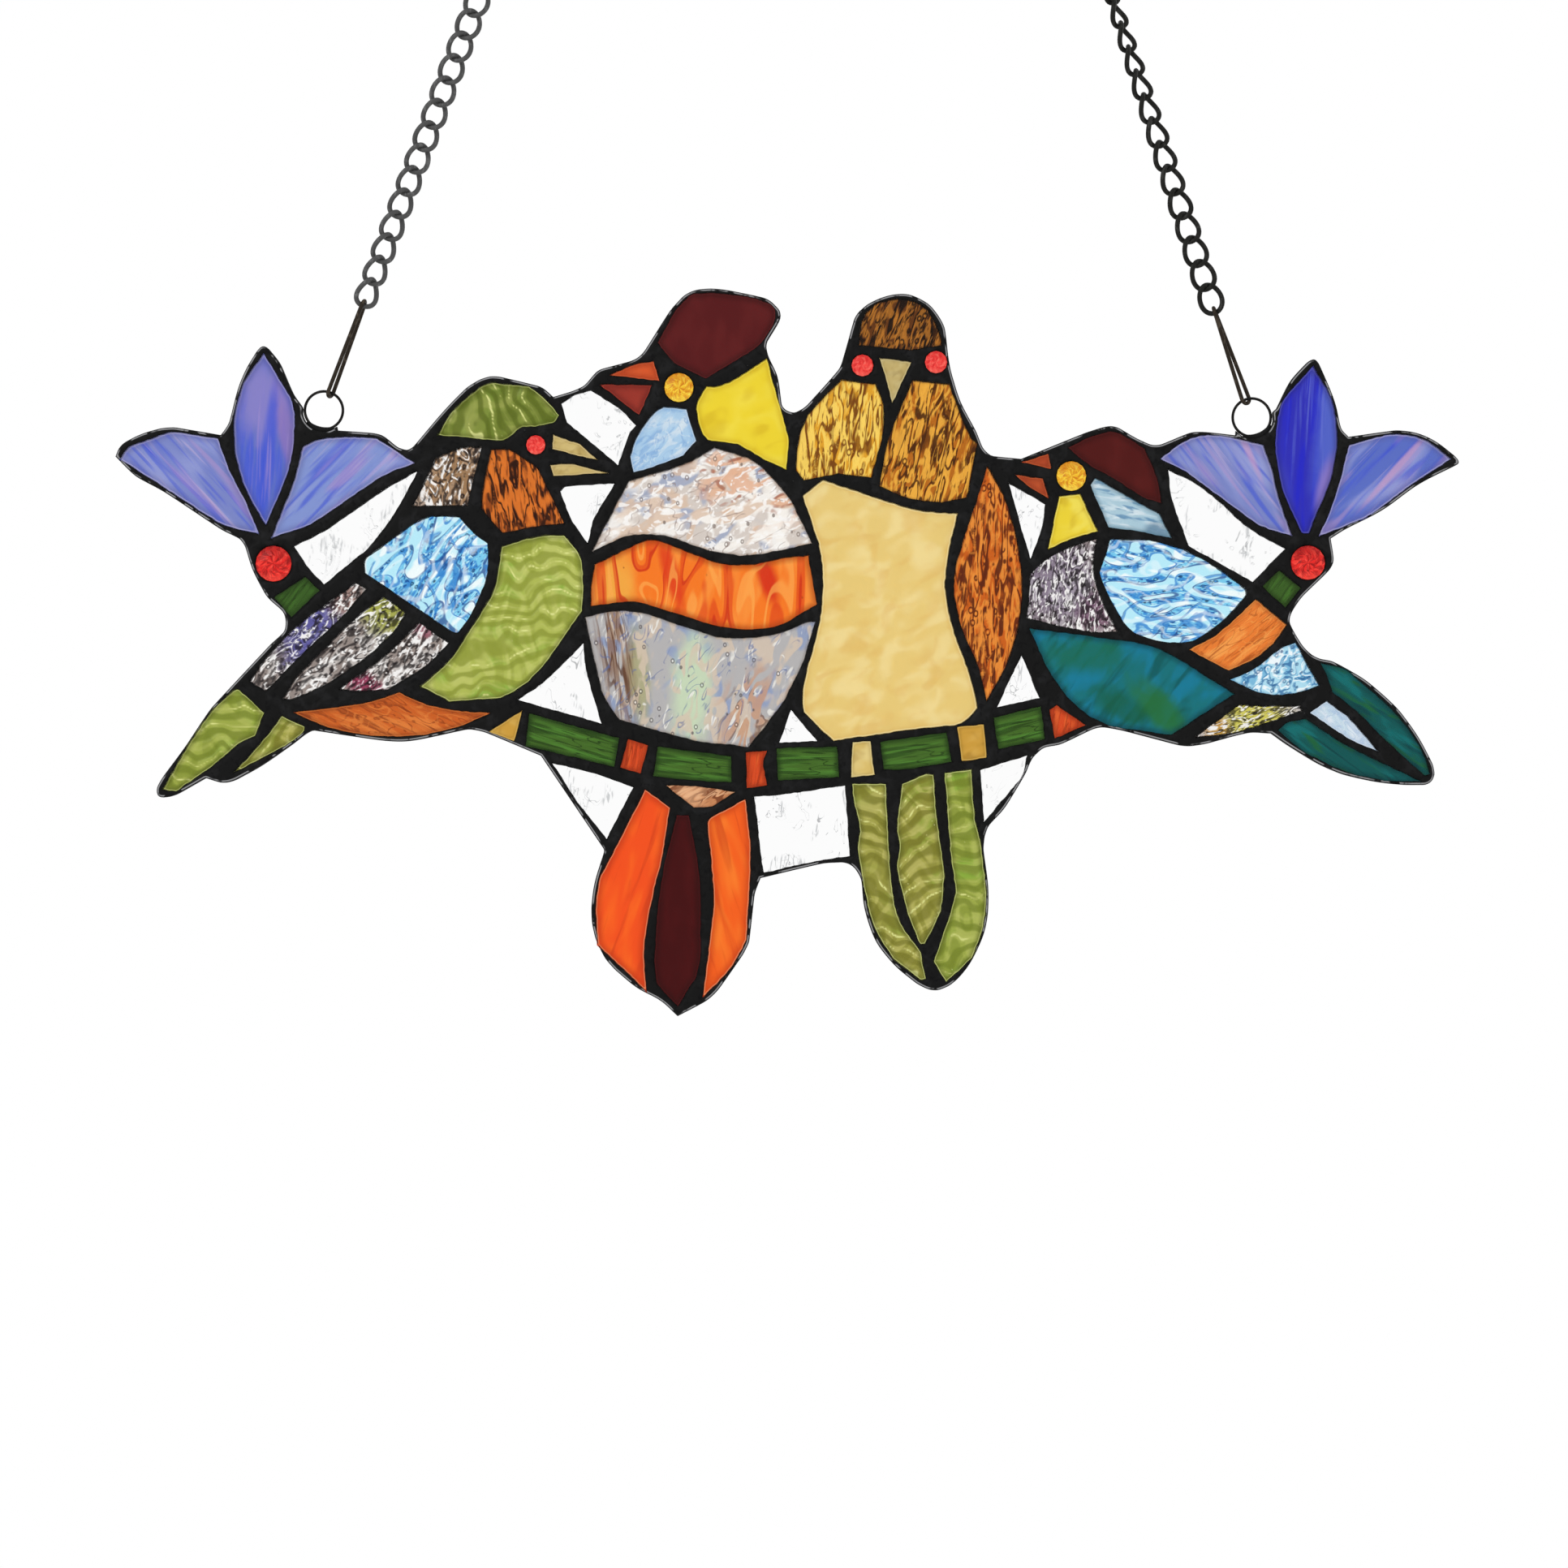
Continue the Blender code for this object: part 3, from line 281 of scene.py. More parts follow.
def inside(points, rings):
    """True for points that an odd number of rings holds."""
    held = np.zeros(len(points), bool)
    for ring in rings:
        x0, z0 = ring[:, 0], ring[:, 1]
        x1, z1 = np.roll(x0, -1), np.roll(z0, -1)
        low, high = ring.min(axis=0), ring.max(axis=0)
        level = (points[:, 1] >= low[1]) & (points[:, 1] <= high[1])
        near = np.flatnonzero(level & (points[:, 0] <= high[0]))
        for i in range(len(ring)):
            if z0[i] == z1[i]:
                continue
            z = points[near, 1]
            crossed = (z0[i] > z) != (z1[i] > z)
            reach = x0[i] + (z - z0[i]) * (x1[i] - x0[i]) / (z1[i] - z0[i])
            held[near] ^= crossed & (points[near, 0] < reach)
    return held


def shore_tree(rings):
    """A search tree over the outlines, for distances to the nearest one."""
    marks = np.concatenate([smooth_marks(ring) for ring in rings])
    tree = KDTree(len(marks))
    for i, mark in enumerate(marks):
        tree.insert((mark[0], mark[1], 0.0), i)
    tree.balance()
    return tree


def smooth_marks(ring, spacing=0.3):
    marks = []
    for i in range(len(ring)):
        a, b = ring[i], ring[(i + 1) % len(ring)]
        pieces = max(1, int(math.ceil(np.linalg.norm(b - a) / spacing)))
        t = np.arange(pieces)[:, None] / pieces
        marks.append(a + (b - a) * t)
    return np.concatenate(marks)


def shore_distance(points, tree):
    return np.array([tree.find((p[0], p[1], 0.0))[2] for p in points])


def hex_grid(low, high, spacing):
    rows = np.arange(low[1], high[1] + spacing, spacing * ROW_HEIGHT)
    columns = np.arange(low[0], high[0] + spacing, spacing)
    x, z = np.meshgrid(columns, rows)
    x = x + (np.arange(len(rows)) % 2)[:, None] * spacing / 2
    return np.stack([x.ravel(), z.ravel()], axis=1)


def triangulated(rings, extra):
    """Points and triangles that fill an outline less its holes, with extra points within."""
    points = [Vector(p) for ring in rings for p in ring]
    edges = []
    start = 0
    for ring in rings:
        count = len(ring)
        edges += [(start + i, start + (i + 1) % count) for i in range(count)]
        start += count
    points += [Vector(p) for p in extra]
    found, _, triangles, _, _, _ = delaunay_2d_cdt(points, edges, [], 2, 1e-5)
    found = np.array([tuple(p) for p in found])
    triangles = np.array([t for t in triangles if len(t) == 3])
    a, b, c = (found[triangles[:, k]] for k in range(3))
    area = (b[:, 0] - a[:, 0]) * (c[:, 1] - a[:, 1]) - (b[:, 1] - a[:, 1]) * (c[:, 0] - a[:, 0])
    triangles[area < 0] = triangles[area < 0][:, ::-1]
    return found, triangles[inside((a + b + c) / 3, rings)]


def open_edges(triangles):
    """The edges that only one triangle has, each in that triangle's direction."""
    edges = np.concatenate([triangles[:, [0, 1]], triangles[:, [1, 2]], triangles[:, [2, 0]]])
    _, first, count = np.unique(np.sort(edges, axis=1), axis=0, return_index=True, return_counts=True)
    return edges[first[count == 1]]


def plate(name, points, triangles, front, back, notes=None):
    """A closed plate over the same triangles: front and back give its half thickness at each point."""
    count = len(points)
    x = (points[:, 0] - HANG_X) * MM
    z = (points[:, 1] - HANG_Z) * MM
    verts = np.concatenate([
        np.stack([x, -front * MM, z], axis=1),
        np.stack([x, back * MM, z], axis=1),
    ])
    rim = open_edges(triangles)
    walls = np.concatenate([
        np.stack([rim[:, 1], rim[:, 0], rim[:, 0] + count], axis=1),
        np.stack([rim[:, 1], rim[:, 0] + count, rim[:, 1] + count], axis=1),
    ])
    faces = np.concatenate([triangles, triangles[:, ::-1] + count, walls])
    mesh = bpy.data.meshes.new(name)
    mesh.from_pydata(verts.tolist(), [], faces.tolist())
    mesh.shade_smooth()
    for note, values in (notes or {}).items():
        attribute = mesh.attributes.new(note, "FLOAT", "POINT")
        attribute.data.foreach_set("value", np.concatenate([values, values]).astype(np.float32))
    made = bpy.data.objects.new(name, mesh)
    bpy.context.scene.collection.objects.link(made)
    return made


def kept_shape(name, shape, smooth=False):
    """The object that a finished shape becomes."""
    mesh = bpy.data.meshes.new(name)
    shape.to_mesh(mesh)
    shape.free()
    if smooth:
        mesh.shade_smooth()
    made = bpy.data.objects.new(name, mesh)
    bpy.context.scene.collection.objects.link(made)
    return made


def place_piece(piece, finish, nodes=()):
    """Gives a piece its finish, and its place among the solids."""
    piece.data.materials.clear()
    piece.data.materials.append(finish)
    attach(piece, "root")
    if nodes:
        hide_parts(*nodes)


# Relief of the rolled glasses


def field(x, z, across, along, turn=0.0, seed=1):
    """Smooth unevenness from 0 to 1, stretched along a direction turned from the vertical."""
    angle = math.radians(turn)
    u = (x * math.cos(angle) - z * math.sin(angle)) / across + 37.7
    v = (x * math.sin(angle) + z * math.cos(angle)) / along + 51.3
    lattice = np.random.default_rng(seed).random((97, 89))
    i, j = np.floor(u).astype(int), np.floor(v).astype(int)
    s, t = u - i, v - j
    s, t = s * s * (3 - 2 * s), t * t * (3 - 2 * t)
    rows, columns = lattice.shape
    a = lattice[i % rows, j % columns]
    b = lattice[(i + 1) % rows, j % columns]
    c = lattice[i % rows, (j + 1) % columns]
    d = lattice[(i + 1) % rows, (j + 1) % columns]
    return (a * (1 - s) + b * s) * (1 - t) + (c * (1 - s) + d * s) * t


def ripple(x, z, turn, seed):
    """Long wandering waves with a fine crest."""
    angle = math.radians(turn)
    run = (x * math.cos(angle) - z * math.sin(angle)) / 6.5
    run = run + 1.4 * field(x, z, 13, 13, 0, seed) + 0.6 * field(x, z, 4.5, 5, 0, seed + 1)
    part = run - np.floor(run)
    wave = 0.5 - 0.5 * np.cos(2 * math.pi * part**1.4)
    crest = np.exp(-(((part - 0.62) / 0.05) ** 2))
    kept = np.clip(2.8 * field(x, z, 6, 8, turn, seed + 2) - 0.9, 0, 1)
    return 0.36 * wave + 0.1 * crest * kept, crest * kept


def bark(x, z, turn, seed):
    """Close upright grooves, like bark."""
    sway = 1.6 * field(x, z, 9, 14, turn, seed + 5)
    fine = field(x + sway, z, 0.95, 8, turn, seed)
    broad = field(x + sway, z, 2.1, 12, turn, seed + 1)
    groove = 1 - np.abs(2 * fine - 1)
    flecks = np.clip(5 * field(x, z, 1.6, 2.6, turn, seed + 2) - 4.1, 0, 1)
    return 0.26 * groove**1.5 + 0.2 * broad + 0.12 * flecks, np.clip(groove**5 * broad * 1.3 + flecks, 0, 1)


def crinkle(x, z, turn, seed):
    """Irregular wrinkles that run with the feather."""
    sway = 3.0 * field(x, z, 5, 7, turn, seed + 5)
    first = 1 - np.abs(2 * field(x + sway, z + sway, 2.6, 7.0, turn, seed) - 1)
    second = 1 - np.abs(2 * field(x, z + sway, 1.3, 2.8, turn + 12, seed + 1) - 1)
    return 0.4 * first**2 + 0.14 * second**2, np.clip(first**6 + 0.5 * second**9, 0, 1)


def veined(x, z, turn, seed):
    """Slanting ribbons with a net of fine veins."""
    angle = math.radians(turn)
    run = (x * math.cos(angle) - z * math.sin(angle)) / 6.0
    run = run + 1.5 * field(x, z, 9, 11, 0, seed) + 0.5 * field(x, z, 3.5, 4, 0, seed + 1)
    part = run - np.floor(run)
    crest = np.exp(-(((part - 0.5) / 0.17) ** 2))
    fine = 1 - np.abs(2 * field(x, z, 1.5, 3.0, turn, seed + 2) - 1)
    return 0.32 * crest + 0.16 * fine**3, crest


def seedy(x, z, turn, seed):
    """A nearly smooth sheet with shallow waves."""
    broad = field(x, z, 5, 11, turn, seed)
    fine = field(x, z, 1.8, 3.5, turn, seed + 1)
    return 0.16 * broad + 0.06 * fine, broad


def hammered(x, z, turn, seed):
    """Soft dimples of a thick opal sheet."""
    low = field(x, z, 6, 3.2, turn, seed)
    return 0.16 * low, low


def plain(x, z, turn, seed):
    """Machine-rolled glass, almost flat."""
    low = field(x, z, 12, 15, turn, seed)
    return 0.07 * low, low


# Finishes


class Finish:
    """A finish painted in layers on Object coordinates, with sizes in the sheet's millimetres."""

    def __init__(self, name, colour, roughness, transmission=0.0, metallic=0.0, specular=0.04):
        self.material = bpy.data.materials.new(name)
        self.material.use_nodes = True
        self.tree = self.material.node_tree
        self.shader = self.tree.nodes["Principled BSDF"]
        self.shader.inputs["Roughness"].default_value = roughness
        self.shader.inputs["Transmission Weight"].default_value = transmission
        self.shader.inputs["Metallic"].default_value = metallic
        self.shader.inputs["Specular IOR Level"].default_value = specular
        self.shader.inputs["IOR"].default_value = GLASS_IOR
        self.shader.inputs["Base Color"].default_value = (*colour, 1.0)
        self.colour = tuple(colour)
        self.solid = transmission == 0.0
        self.place = self.add("ShaderNodeTexCoord").outputs["Object"]

    def add(self, kind, **settings):
        node = self.tree.nodes.new(kind)
        for name, value in settings.items():
            setattr(node, name, value)
        return node

    def feed(self, socket, value):
        if isinstance(value, bpy.types.NodeSocket):
            self.tree.links.new(value, socket)
        else:
            socket.default_value = value

    def maths(self, operation, first, second=0.0):
        node = self.add("ShaderNodeMath", operation=operation)
        self.feed(node.inputs[0], first)
        self.feed(node.inputs[1], second)
        return node.outputs["Value"]

    def rise(self, value, low, high, start=0.0, end=1.0):
        """The value spread smoothly from start at low to end at high."""
        node = self.add("ShaderNodeMapRange", interpolation_type="SMOOTHSTEP")
        self.feed(node.inputs["Value"], value)
        node.inputs["From Min"].default_value = low
        node.inputs["From Max"].default_value = high
        node.inputs["To Min"].default_value = start
        node.inputs["To Max"].default_value = end
        return node.outputs["Result"]

    def all_of(self, masks):
        mask = masks[0]
        for other in masks[1:]:
            mask = self.maths("MULTIPLY", mask, other)
        return mask

    def show(self):
        self.feed(self.shader.inputs["Base Color"], self.colour)

    def lay(self, colour, masks):
        node = self.add("ShaderNodeMix", data_type="RGBA")
        self.feed(node.inputs[0], self.all_of(masks))
        for socket, value in ((node.inputs[6], self.colour), (node.inputs[7], colour)):
            self.feed(socket, (*value, 1.0) if isinstance(value, tuple) else value)
        self.colour = node.outputs[2]
        self.show()

    def coat(self, colour, most, *masks):
        """Lays a colour over the ones below, as strongly as most where every mask is 1."""
        self.lay(tuple(colour), (*masks, most))

    def grain(self, across, along, turn=0.0, at=(0.0, 0.0)):
        """Coordinates whose unit is across by along millimetres, turned clockwise from the vertical.

        The two faces of a sheet of glass carry the same pattern, so that it shows clearly through both.
        """
        node = self.add("ShaderNodeMapping", vector_type="TEXTURE")
        node.inputs["Location"].default_value = ((at[0] - HANG_X) * MM, 0.0, (at[1] - HANG_Z) * MM)
        node.inputs["Rotation"].default_value = (0.0, math.radians(turn), 0.0)
        node.inputs["Scale"].default_value = (across * MM, across * MM if self.solid else 1.0, along * MM)
        self.feed(node.inputs["Vector"], self.place)
        return node.outputs["Vector"]

    def noise(self, across, along, turn=0.0, at=(0.0, 0.0), detail=3.0, sway=0.6):
        node = self.add("ShaderNodeTexNoise")
        self.feed(node.inputs["Vector"], self.grain(across, along, turn, at))
        node.inputs["Scale"].default_value = 1.0
        node.inputs["Detail"].default_value = detail
        node.inputs["Distortion"].default_value = sway
        return node.outputs["Fac"]

    def streaks(self, across, along, turn=0.0, at=(0.0, 0.0), low=0.45, high=0.7, detail=3.0, sway=0.6):
        """A mask of soft streaks."""
        return self.rise(self.noise(across, along, turn, at, detail, sway), low, high)

    def lines(self, across, along, turn=0.0, at=(0.0, 0.0), rings=3.0, width=0.06, detail=2.0, sway=1.0):
        """A mask of thin lines that follow the contours of an unevenness."""
        value = self.maths("MULTIPLY", self.noise(across, along, turn, at, detail, sway), rings)
        folded = self.maths("PINGPONG", value, 0.5)
        off = self.maths("ABSOLUTE", self.maths("SUBTRACT", folded, 0.25))
        return self.rise(off, width * 0.3, width, 1.0, 0.0)

    def contour(self, across, along, turn, at, rings, detail=1.0, sway=0.8):
        """How far a point lies between two contour lines of an unevenness, from 0 to 1."""
        value = self.noise(across, along, turn, at, detail, sway)
        return self.maths("FRACT", self.maths("MULTIPLY", value, rings))

    def near(self, value, middle, reach):
        """A mask of the places where a value is close to the middle."""
        off = self.maths("ABSOLUTE", self.maths("SUBTRACT", value, middle))
        return self.rise(off, reach * 0.5, reach, 1.0, 0.0)

    def area(self, x, z, wide, high, turn=0.0, ragged=0.9):
        """A soft-edged mask about a point of the sheet."""
        near = self.add("ShaderNodeVectorMath", operation="LENGTH")
        self.feed(near.inputs[0], self.grain(wide / 2, high / 2, turn, (x, z)))
        rough = self.maths("MULTIPLY", self.noise(9, 14, turn, (x, z), 3.0, 0.8), ragged)
        reach = self.maths("ADD", near.outputs["Value"], rough)
        return self.rise(reach, 0.45 + ragged / 2, 1.25 + ragged / 2, 1.0, 0.0)

    def bubbles(self, spacing, radius, hollow=True, at=(0.0, 0.0), turn=0.0, stretch=1.3):
        """A mask of scattered bubbles, drawn as rings, or as specks where hollow is false."""
        node = self.add("ShaderNodeTexVoronoi")
        node.inputs["Scale"].default_value = 1.0
        self.feed(node.inputs["Vector"], self.grain(spacing, spacing * stretch, turn, at))
        gone = node.outputs["Distance"]
        rim = radius / spacing
        if not hollow:
            return self.rise(gone, rim * 0.6, rim, 1.0, 0.0)
        off = self.maths("ABSOLUTE", self.maths("SUBTRACT", gone, rim))
        return self.rise(off, rim * 0.1, rim * 0.4, 1.0, 0.0)

    def noted(self, name):
        return self.add("ShaderNodeAttribute", attribute_name=name).outputs["Fac"]

    def edge(self, reach):
        """A mask for the painted shade beside the lead, fading away from it."""
        return self.rise(self.noted("shore"), -0.1, reach, 1.0, 0.0)

    def edge_highlight(self, near=0.25, wide=0.5):
        """A mask of the painted highlight: a thin bright line along the cut edge beside the lead."""
        off = self.maths("ABSOLUTE", self.maths("SUBTRACT", self.noted("shore"), near))
        return self.rise(off, wide * 0.35, wide * 0.6, 1.0, 0.0)

    # A mask of the relief's crests, on which finishes paint highlights.
    def crest_highlights(self, low=0.2, high=0.9):
        return self.rise(self.noted("crest"), low, high)

    def dents(self, height, depth, strength=1.0):
        """Fine relief of the surface, in millimetres."""
        node = self.add("ShaderNodeBump")
        node.inputs["Distance"].default_value = depth * MM
        node.inputs["Strength"].default_value = strength
        self.feed(node.inputs["Height"], height)
        self.feed(self.shader.inputs["Normal"], node.outputs["Normal"])


def opal(name, colour, roughness=0.35, transmission=0.74):
    return Finish(name, colour, roughness, transmission)


def cathedral(name, colour, roughness=0.06, transmission=0.96):
    return Finish(name, colour, roughness, transmission)


def petal_finish(name, base, turn, at, pinks=()):
    """Wispy opal: pale, pink and deep blue streaks that run with the petal."""
    look = opal(name, base)
    look.coat(linear(164, 172, 222), 0.75, look.streaks(9, 44, turn, at, 0.44, 0.7, 2.0, 0.5))
    look.coat(linear(84, 104, 212), 0.8,
              look.streaks(3.4, 44, turn, (at[0] + 90, at[1]), 0.5, 0.66, 2.0, 0.5))
    look.coat(linear(60, 80, 212), 0.45,
              look.streaks(1.6, 34, turn, (at[0] + 33, at[1]), 0.6, 0.72, 1.0, 0.5))
    look.coat(linear(186, 156, 206), 0.5,
              look.streaks(5, 46, turn, (at[0], at[1] + 120), 0.54, 0.7, 1.0, 0.5))
    for x, z, wide, high, lean in pinks:
        look.coat(linear(206, 164, 204), 0.7, look.area(x, z, wide, high, lean, 0.3))
    look.coat(linear(214, 192, 222), 0.4,
              look.streaks(1.6, 40, turn, (at[0], at[1] + 60), 0.62, 0.72, 1.0, 0.5))
    # Painted shade beside the lead, and a painted highlight along the cut edge.
    look.coat(linear(92, 92, 158), 0.5, look.edge(3.2))
    look.coat(linear(190, 186, 226), 0.6, look.edge_highlight())
    return look.material


def middle_petal_finish():
    look = opal("middle_petal", linear(100, 118, 200))
    look.coat(linear(80, 100, 214), 0.9, look.streaks(4, 40, 5, (0, 0), 0.46, 0.66))
    look.coat(linear(150, 140, 206), 0.8, look.area(58, 242, 22, 34, 8))
    look.coat(linear(156, 128, 190), 0.7, look.area(68, 228, 8, 44, -12))
    look.coat(linear(72, 94, 214), 0.8, look.area(60, 220, 6, 66, 6, 0.5))
    look.coat(linear(170, 150, 210), 0.6, look.streaks(1.0, 40, 3, (40, 0), 0.58, 0.7))
    # Painted shade beside the lead, and a painted highlight along the cut edge.
    look.coat(linear(76, 78, 150), 0.5, look.edge(3.0))
    look.coat(linear(176, 172, 216), 0.55, look.edge_highlight())
    return look.material


def deep_petal_finish():
    look = opal("deep_petal", linear(52, 52, 188))
    look.coat(linear(40, 44, 206), 0.8, look.streaks(3, 60, 4, (0, 0), 0.46, 0.62))
    look.coat(linear(90, 108, 206), 0.95, look.area(481, 234, 17, 74, 8, 0.5))
    look.coat(linear(110, 124, 216), 0.7, look.streaks(1.4, 50, 3, (20, 0), 0.54, 0.68),
              look.area(476, 238, 26, 60, 6))
    look.coat(linear(154, 132, 206), 0.8, look.area(478, 208, 10, 28, 14, 0.5))
    look.coat(linear(66, 70, 190), 0.7, look.area(460, 208, 8, 26, -10, 0.5))
    # Painted shade beside the lead, and a painted highlight along the cut edge.
    look.coat(linear(40, 38, 120), 0.55, look.edge(2.6))
    look.coat(linear(120, 120, 204), 0.4, look.edge_highlight())
    return look.material


def clear_finish(colours):
    """Clear glass, white with the light behind it, with faint wandering lines and hatching."""
    look = cathedral("clear_glass", colours.clear, 0.03, 1.0)
    thin = look.lines(9, 15, 20, (0, 0), 2.0, 0.02, 2.0, 2.2)
    look.coat(linear(150, 152, 154), 0.75, thin, look.streaks(18, 18, 0, (9, 9), 0.48, 0.56, 1.0, 0.5))
    hatch = look.streaks(0.7, 5, 6, (0, 0), 0.52, 0.6, 1.5, 0.6)
    look.coat(linear(186, 188, 190), 0.75, hatch, look.streaks(7, 14, 8, (50, 12), 0.58, 0.64, 1.0, 0.5))
    look.coat(linear(130, 130, 132), 0.8, look.bubbles(8.0, 0.28, False, stretch=1.0))
    look.dents(thin, 0.05, 0.2)
    return look.material


def green_finish(name, base, dark, light, leafy, turn, at):
    """Rippled glass with painted light and shade: broad dark and light waves and swells for the ripples,
    painted highlights on the fine crests, and painted shade beside the lead.
    """
    look = cathedral(name, base, 0.12, 0.88)
    look.coat(leafy, 0.75, look.streaks(13, 22, turn, (at[0], at[1] + 60), 0.5, 0.7, 1.0, 0.6))
    # Broad painted shade and painted light in waves, standing for the light and shade of the ripples.
    wave = look.contour(16, 9, turn, at, 3.6, 0.6, 0.45)
    look.coat(dark, 0.4, look.near(wave, 0.2, 0.2))
    look.coat(light, 0.45, look.near(wave, 0.62, 0.24))
    # Painted shade in the relief's hollows and painted light on its swells.
    look.coat(dark, 0.75, look.rise(look.noted("swell"), 0.42, 0.05))
    look.coat(light, 0.75, look.rise(look.noted("swell"), 0.62, 1.0))
    # Painted highlights on the fine crests.
    look.coat(linear(228, 232, 150), 0.85, look.crest_highlights(0.3, 0.8))
    look.coat(linear(240, 240, 180), 0.7, look.bubbles(3.6, 0.26, False, at),
              look.streaks(6, 6, 0, at, 0.5, 0.6))
    look.coat(linear(84, 74, 30), 0.8, look.bubbles(6.5, 0.26, False, (at[0] + 5, at[1])))
    # Painted shade beside the lead, and a painted highlight along the cut edge.
    look.coat(linear(72, 78, 18), 0.6, look.edge(2.6))
    look.coat(linear(214, 220, 140), 0.6, look.edge_highlight(0.2, 0.36))
    return look.material


def wing_finish(name, turn, at):
    """Pale cyan glass crossed by winding blue ribbons, dark and beaded where the surface folds, with painted
    highlights on the relief's crests.
    """
    look = cathedral(name, linear(186, 236, 250), 0.06, 0.95)
    pale, white, cyan = linear(196, 242, 252), linear(246, 254, 254), linear(118, 202, 238)
    blue, deep, ink = linear(58, 140, 212), linear(22, 78, 150), linear(12, 44, 84)
    look.coat(white, 0.9, look.streaks(6, 12, turn, (at[0] + 61, at[1]), 0.5, 0.6, 1.0, 0.8))
    ribbon = look.contour(13, 28, turn, at, 5.0, 0.7, 0.8)
    inside = look.near(ribbon, 0.68, 0.25)
    look.coat(cyan, 0.95, inside)
    look.coat(blue, 0.95, inside, look.streaks(2.4, 7, turn, at, 0.46, 0.54, 1.5, 1.0))
    look.coat(deep, 0.9, inside, look.streaks(1.2, 3.4, turn, (at[0] + 9, at[1]), 0.54, 0.6, 1.5, 1.0))
    look.coat(pale, 0.9, inside, look.streaks(1.2, 3.6, turn, (at[0] + 27, at[1]), 0.56, 0.62, 1.5, 1.0))
    look.coat(deep, 0.85, look.near(ribbon, 0.45, 0.05))
    look.coat(blue, 0.9, look.near(ribbon, 0.92, 0.05))
    look.coat(ink, 0.85, inside, look.bubbles(2.6, 0.5, True, at, turn, 1.6))
    second = look.contour(8, 16, turn - 24, (at[0] + 90, at[1]), 3.0, 0.7, 0.8)
    where = look.streaks(13, 15, turn, (at[0] + 140, at[1]), 0.48, 0.54, 1.0, 0.6)
    look.coat(blue, 0.8, look.near(second, 0.5, 0.14), where)
    look.coat(deep, 0.8, look.near(second, 0.34, 0.05), where)
    # Painted highlights on the relief's crests.
    look.coat(white, 0.4, look.crest_highlights(0.4, 0.9))
    return look.material


def bark_finish(name, base, dark, light, turn, at, light_share=0.85):
    """Striated glass: close dark and bright stripes with bubbles among them, painted highlights on the
    relief's crests and painted shade beside the lead.
    """
    look = cathedral(name, base, 0.1, 0.92)
    look.coat(dark, 0.75, look.streaks(4.5, 14, turn, at, 0.5, 0.62, 1.0, 0.6))
    look.coat(light, light_share, look.streaks(4.5, 12, turn, (at[0] + 70, at[1]), 0.52, 0.62, 1.0, 0.6))
    stripe = look.contour(4.2, 19, turn, at, 4.0, 1.0, 0.6)
    look.coat(light, light_share, look.near(stripe, 0.5, 0.2))
    look.coat(dark, 0.95, look.near(stripe, 0.16, 0.16))
    look.coat(dark, 0.8, look.streaks(1.3, 7, turn, (at[0] + 5, at[1]), 0.58, 0.64, 1.0, 0.8))
    look.coat(light, light_share, look.streaks(1.3, 8, turn, (at[0] + 33, at[1]), 0.58, 0.64, 1.0, 0.8))
    # Painted highlights on the relief's crests.
    look.coat(light, 0.5, look.crest_highlights(0.35, 0.9))
    sparse = look.streaks(8, 10, turn, (at[0] + 60, at[1]), 0.5, 0.56, 1.0, 0.4)
    look.coat(dark, 0.95, look.bubbles(3.8, 0.8, True, at, turn, 1.5), sparse)
    look.coat(light, 0.9, look.bubbles(3.8, 0.45, False, at, turn, 1.5), sparse)
    # Painted shade beside the lead.
    look.coat(dark, 0.45, look.edge(1.0))
    return look.material


def silver_finish(name, turn, tints, at, scale=1.0):
    """Crinkled glass: dark and white folds, painted shade and painted highlights that make the folds read as
    relief, over patches of colour, with round bubbles.
    """
    look = cathedral(name, linear(150, 138, 132), 0.08, 0.92)
    white, pale, ink = linear(250, 248, 246), linear(206, 200, 196), linear(26, 20, 22)
    look.coat(pale, 0.8, look.streaks(5 * scale, 9 * scale, turn, (at[0] + 50, at[1]), 0.5, 0.58, 1.0, 0.8))
    for colour, x, z, wide, high, most in tints:
        look.coat(colour, most, look.area(x, z, wide, high, turn, 0.9))
    # The folds: painted shade on their dark sides and painted highlights on their bright ones.
    fold = look.contour(7.5 * scale, 17 * scale, turn, at, 4.2, 0.9, 0.9)
    look.coat(ink, 0.85, look.near(fold, 0.2, 0.17),
              look.streaks(3.4, 5, turn, (at[0] + 5, at[1]), 0.42, 0.5))
    look.coat(white, 0.95, look.near(fold, 0.55, 0.13),
              look.streaks(4, 6, turn, (at[0] + 15, at[1]), 0.4, 0.48))
    look.coat(ink, 0.9, look.near(fold, 0.74, 0.07))
    look.coat(ink, 0.85, look.streaks(1.3 * scale, 3 * scale, turn, (at[0] + 8, at[1]), 0.56, 0.61, 1.5, 0.9))
    look.coat(white, 0.9,
              look.streaks(1.2 * scale, 3.4 * scale, turn, (at[0] + 88, at[1]), 0.57, 0.62, 1.5, 0.9))
    sparse = look.streaks(6, 8, turn, (at[0] + 40, at[1]), 0.48, 0.54, 1.0, 0.4)
    look.coat(ink, 0.9, look.bubbles(3.4, 0.8, True, at, turn, 1.2), sparse)
    look.coat(white, 0.85, look.bubbles(3.4, 0.45, False, at, turn, 1.2), sparse)
    return look.material


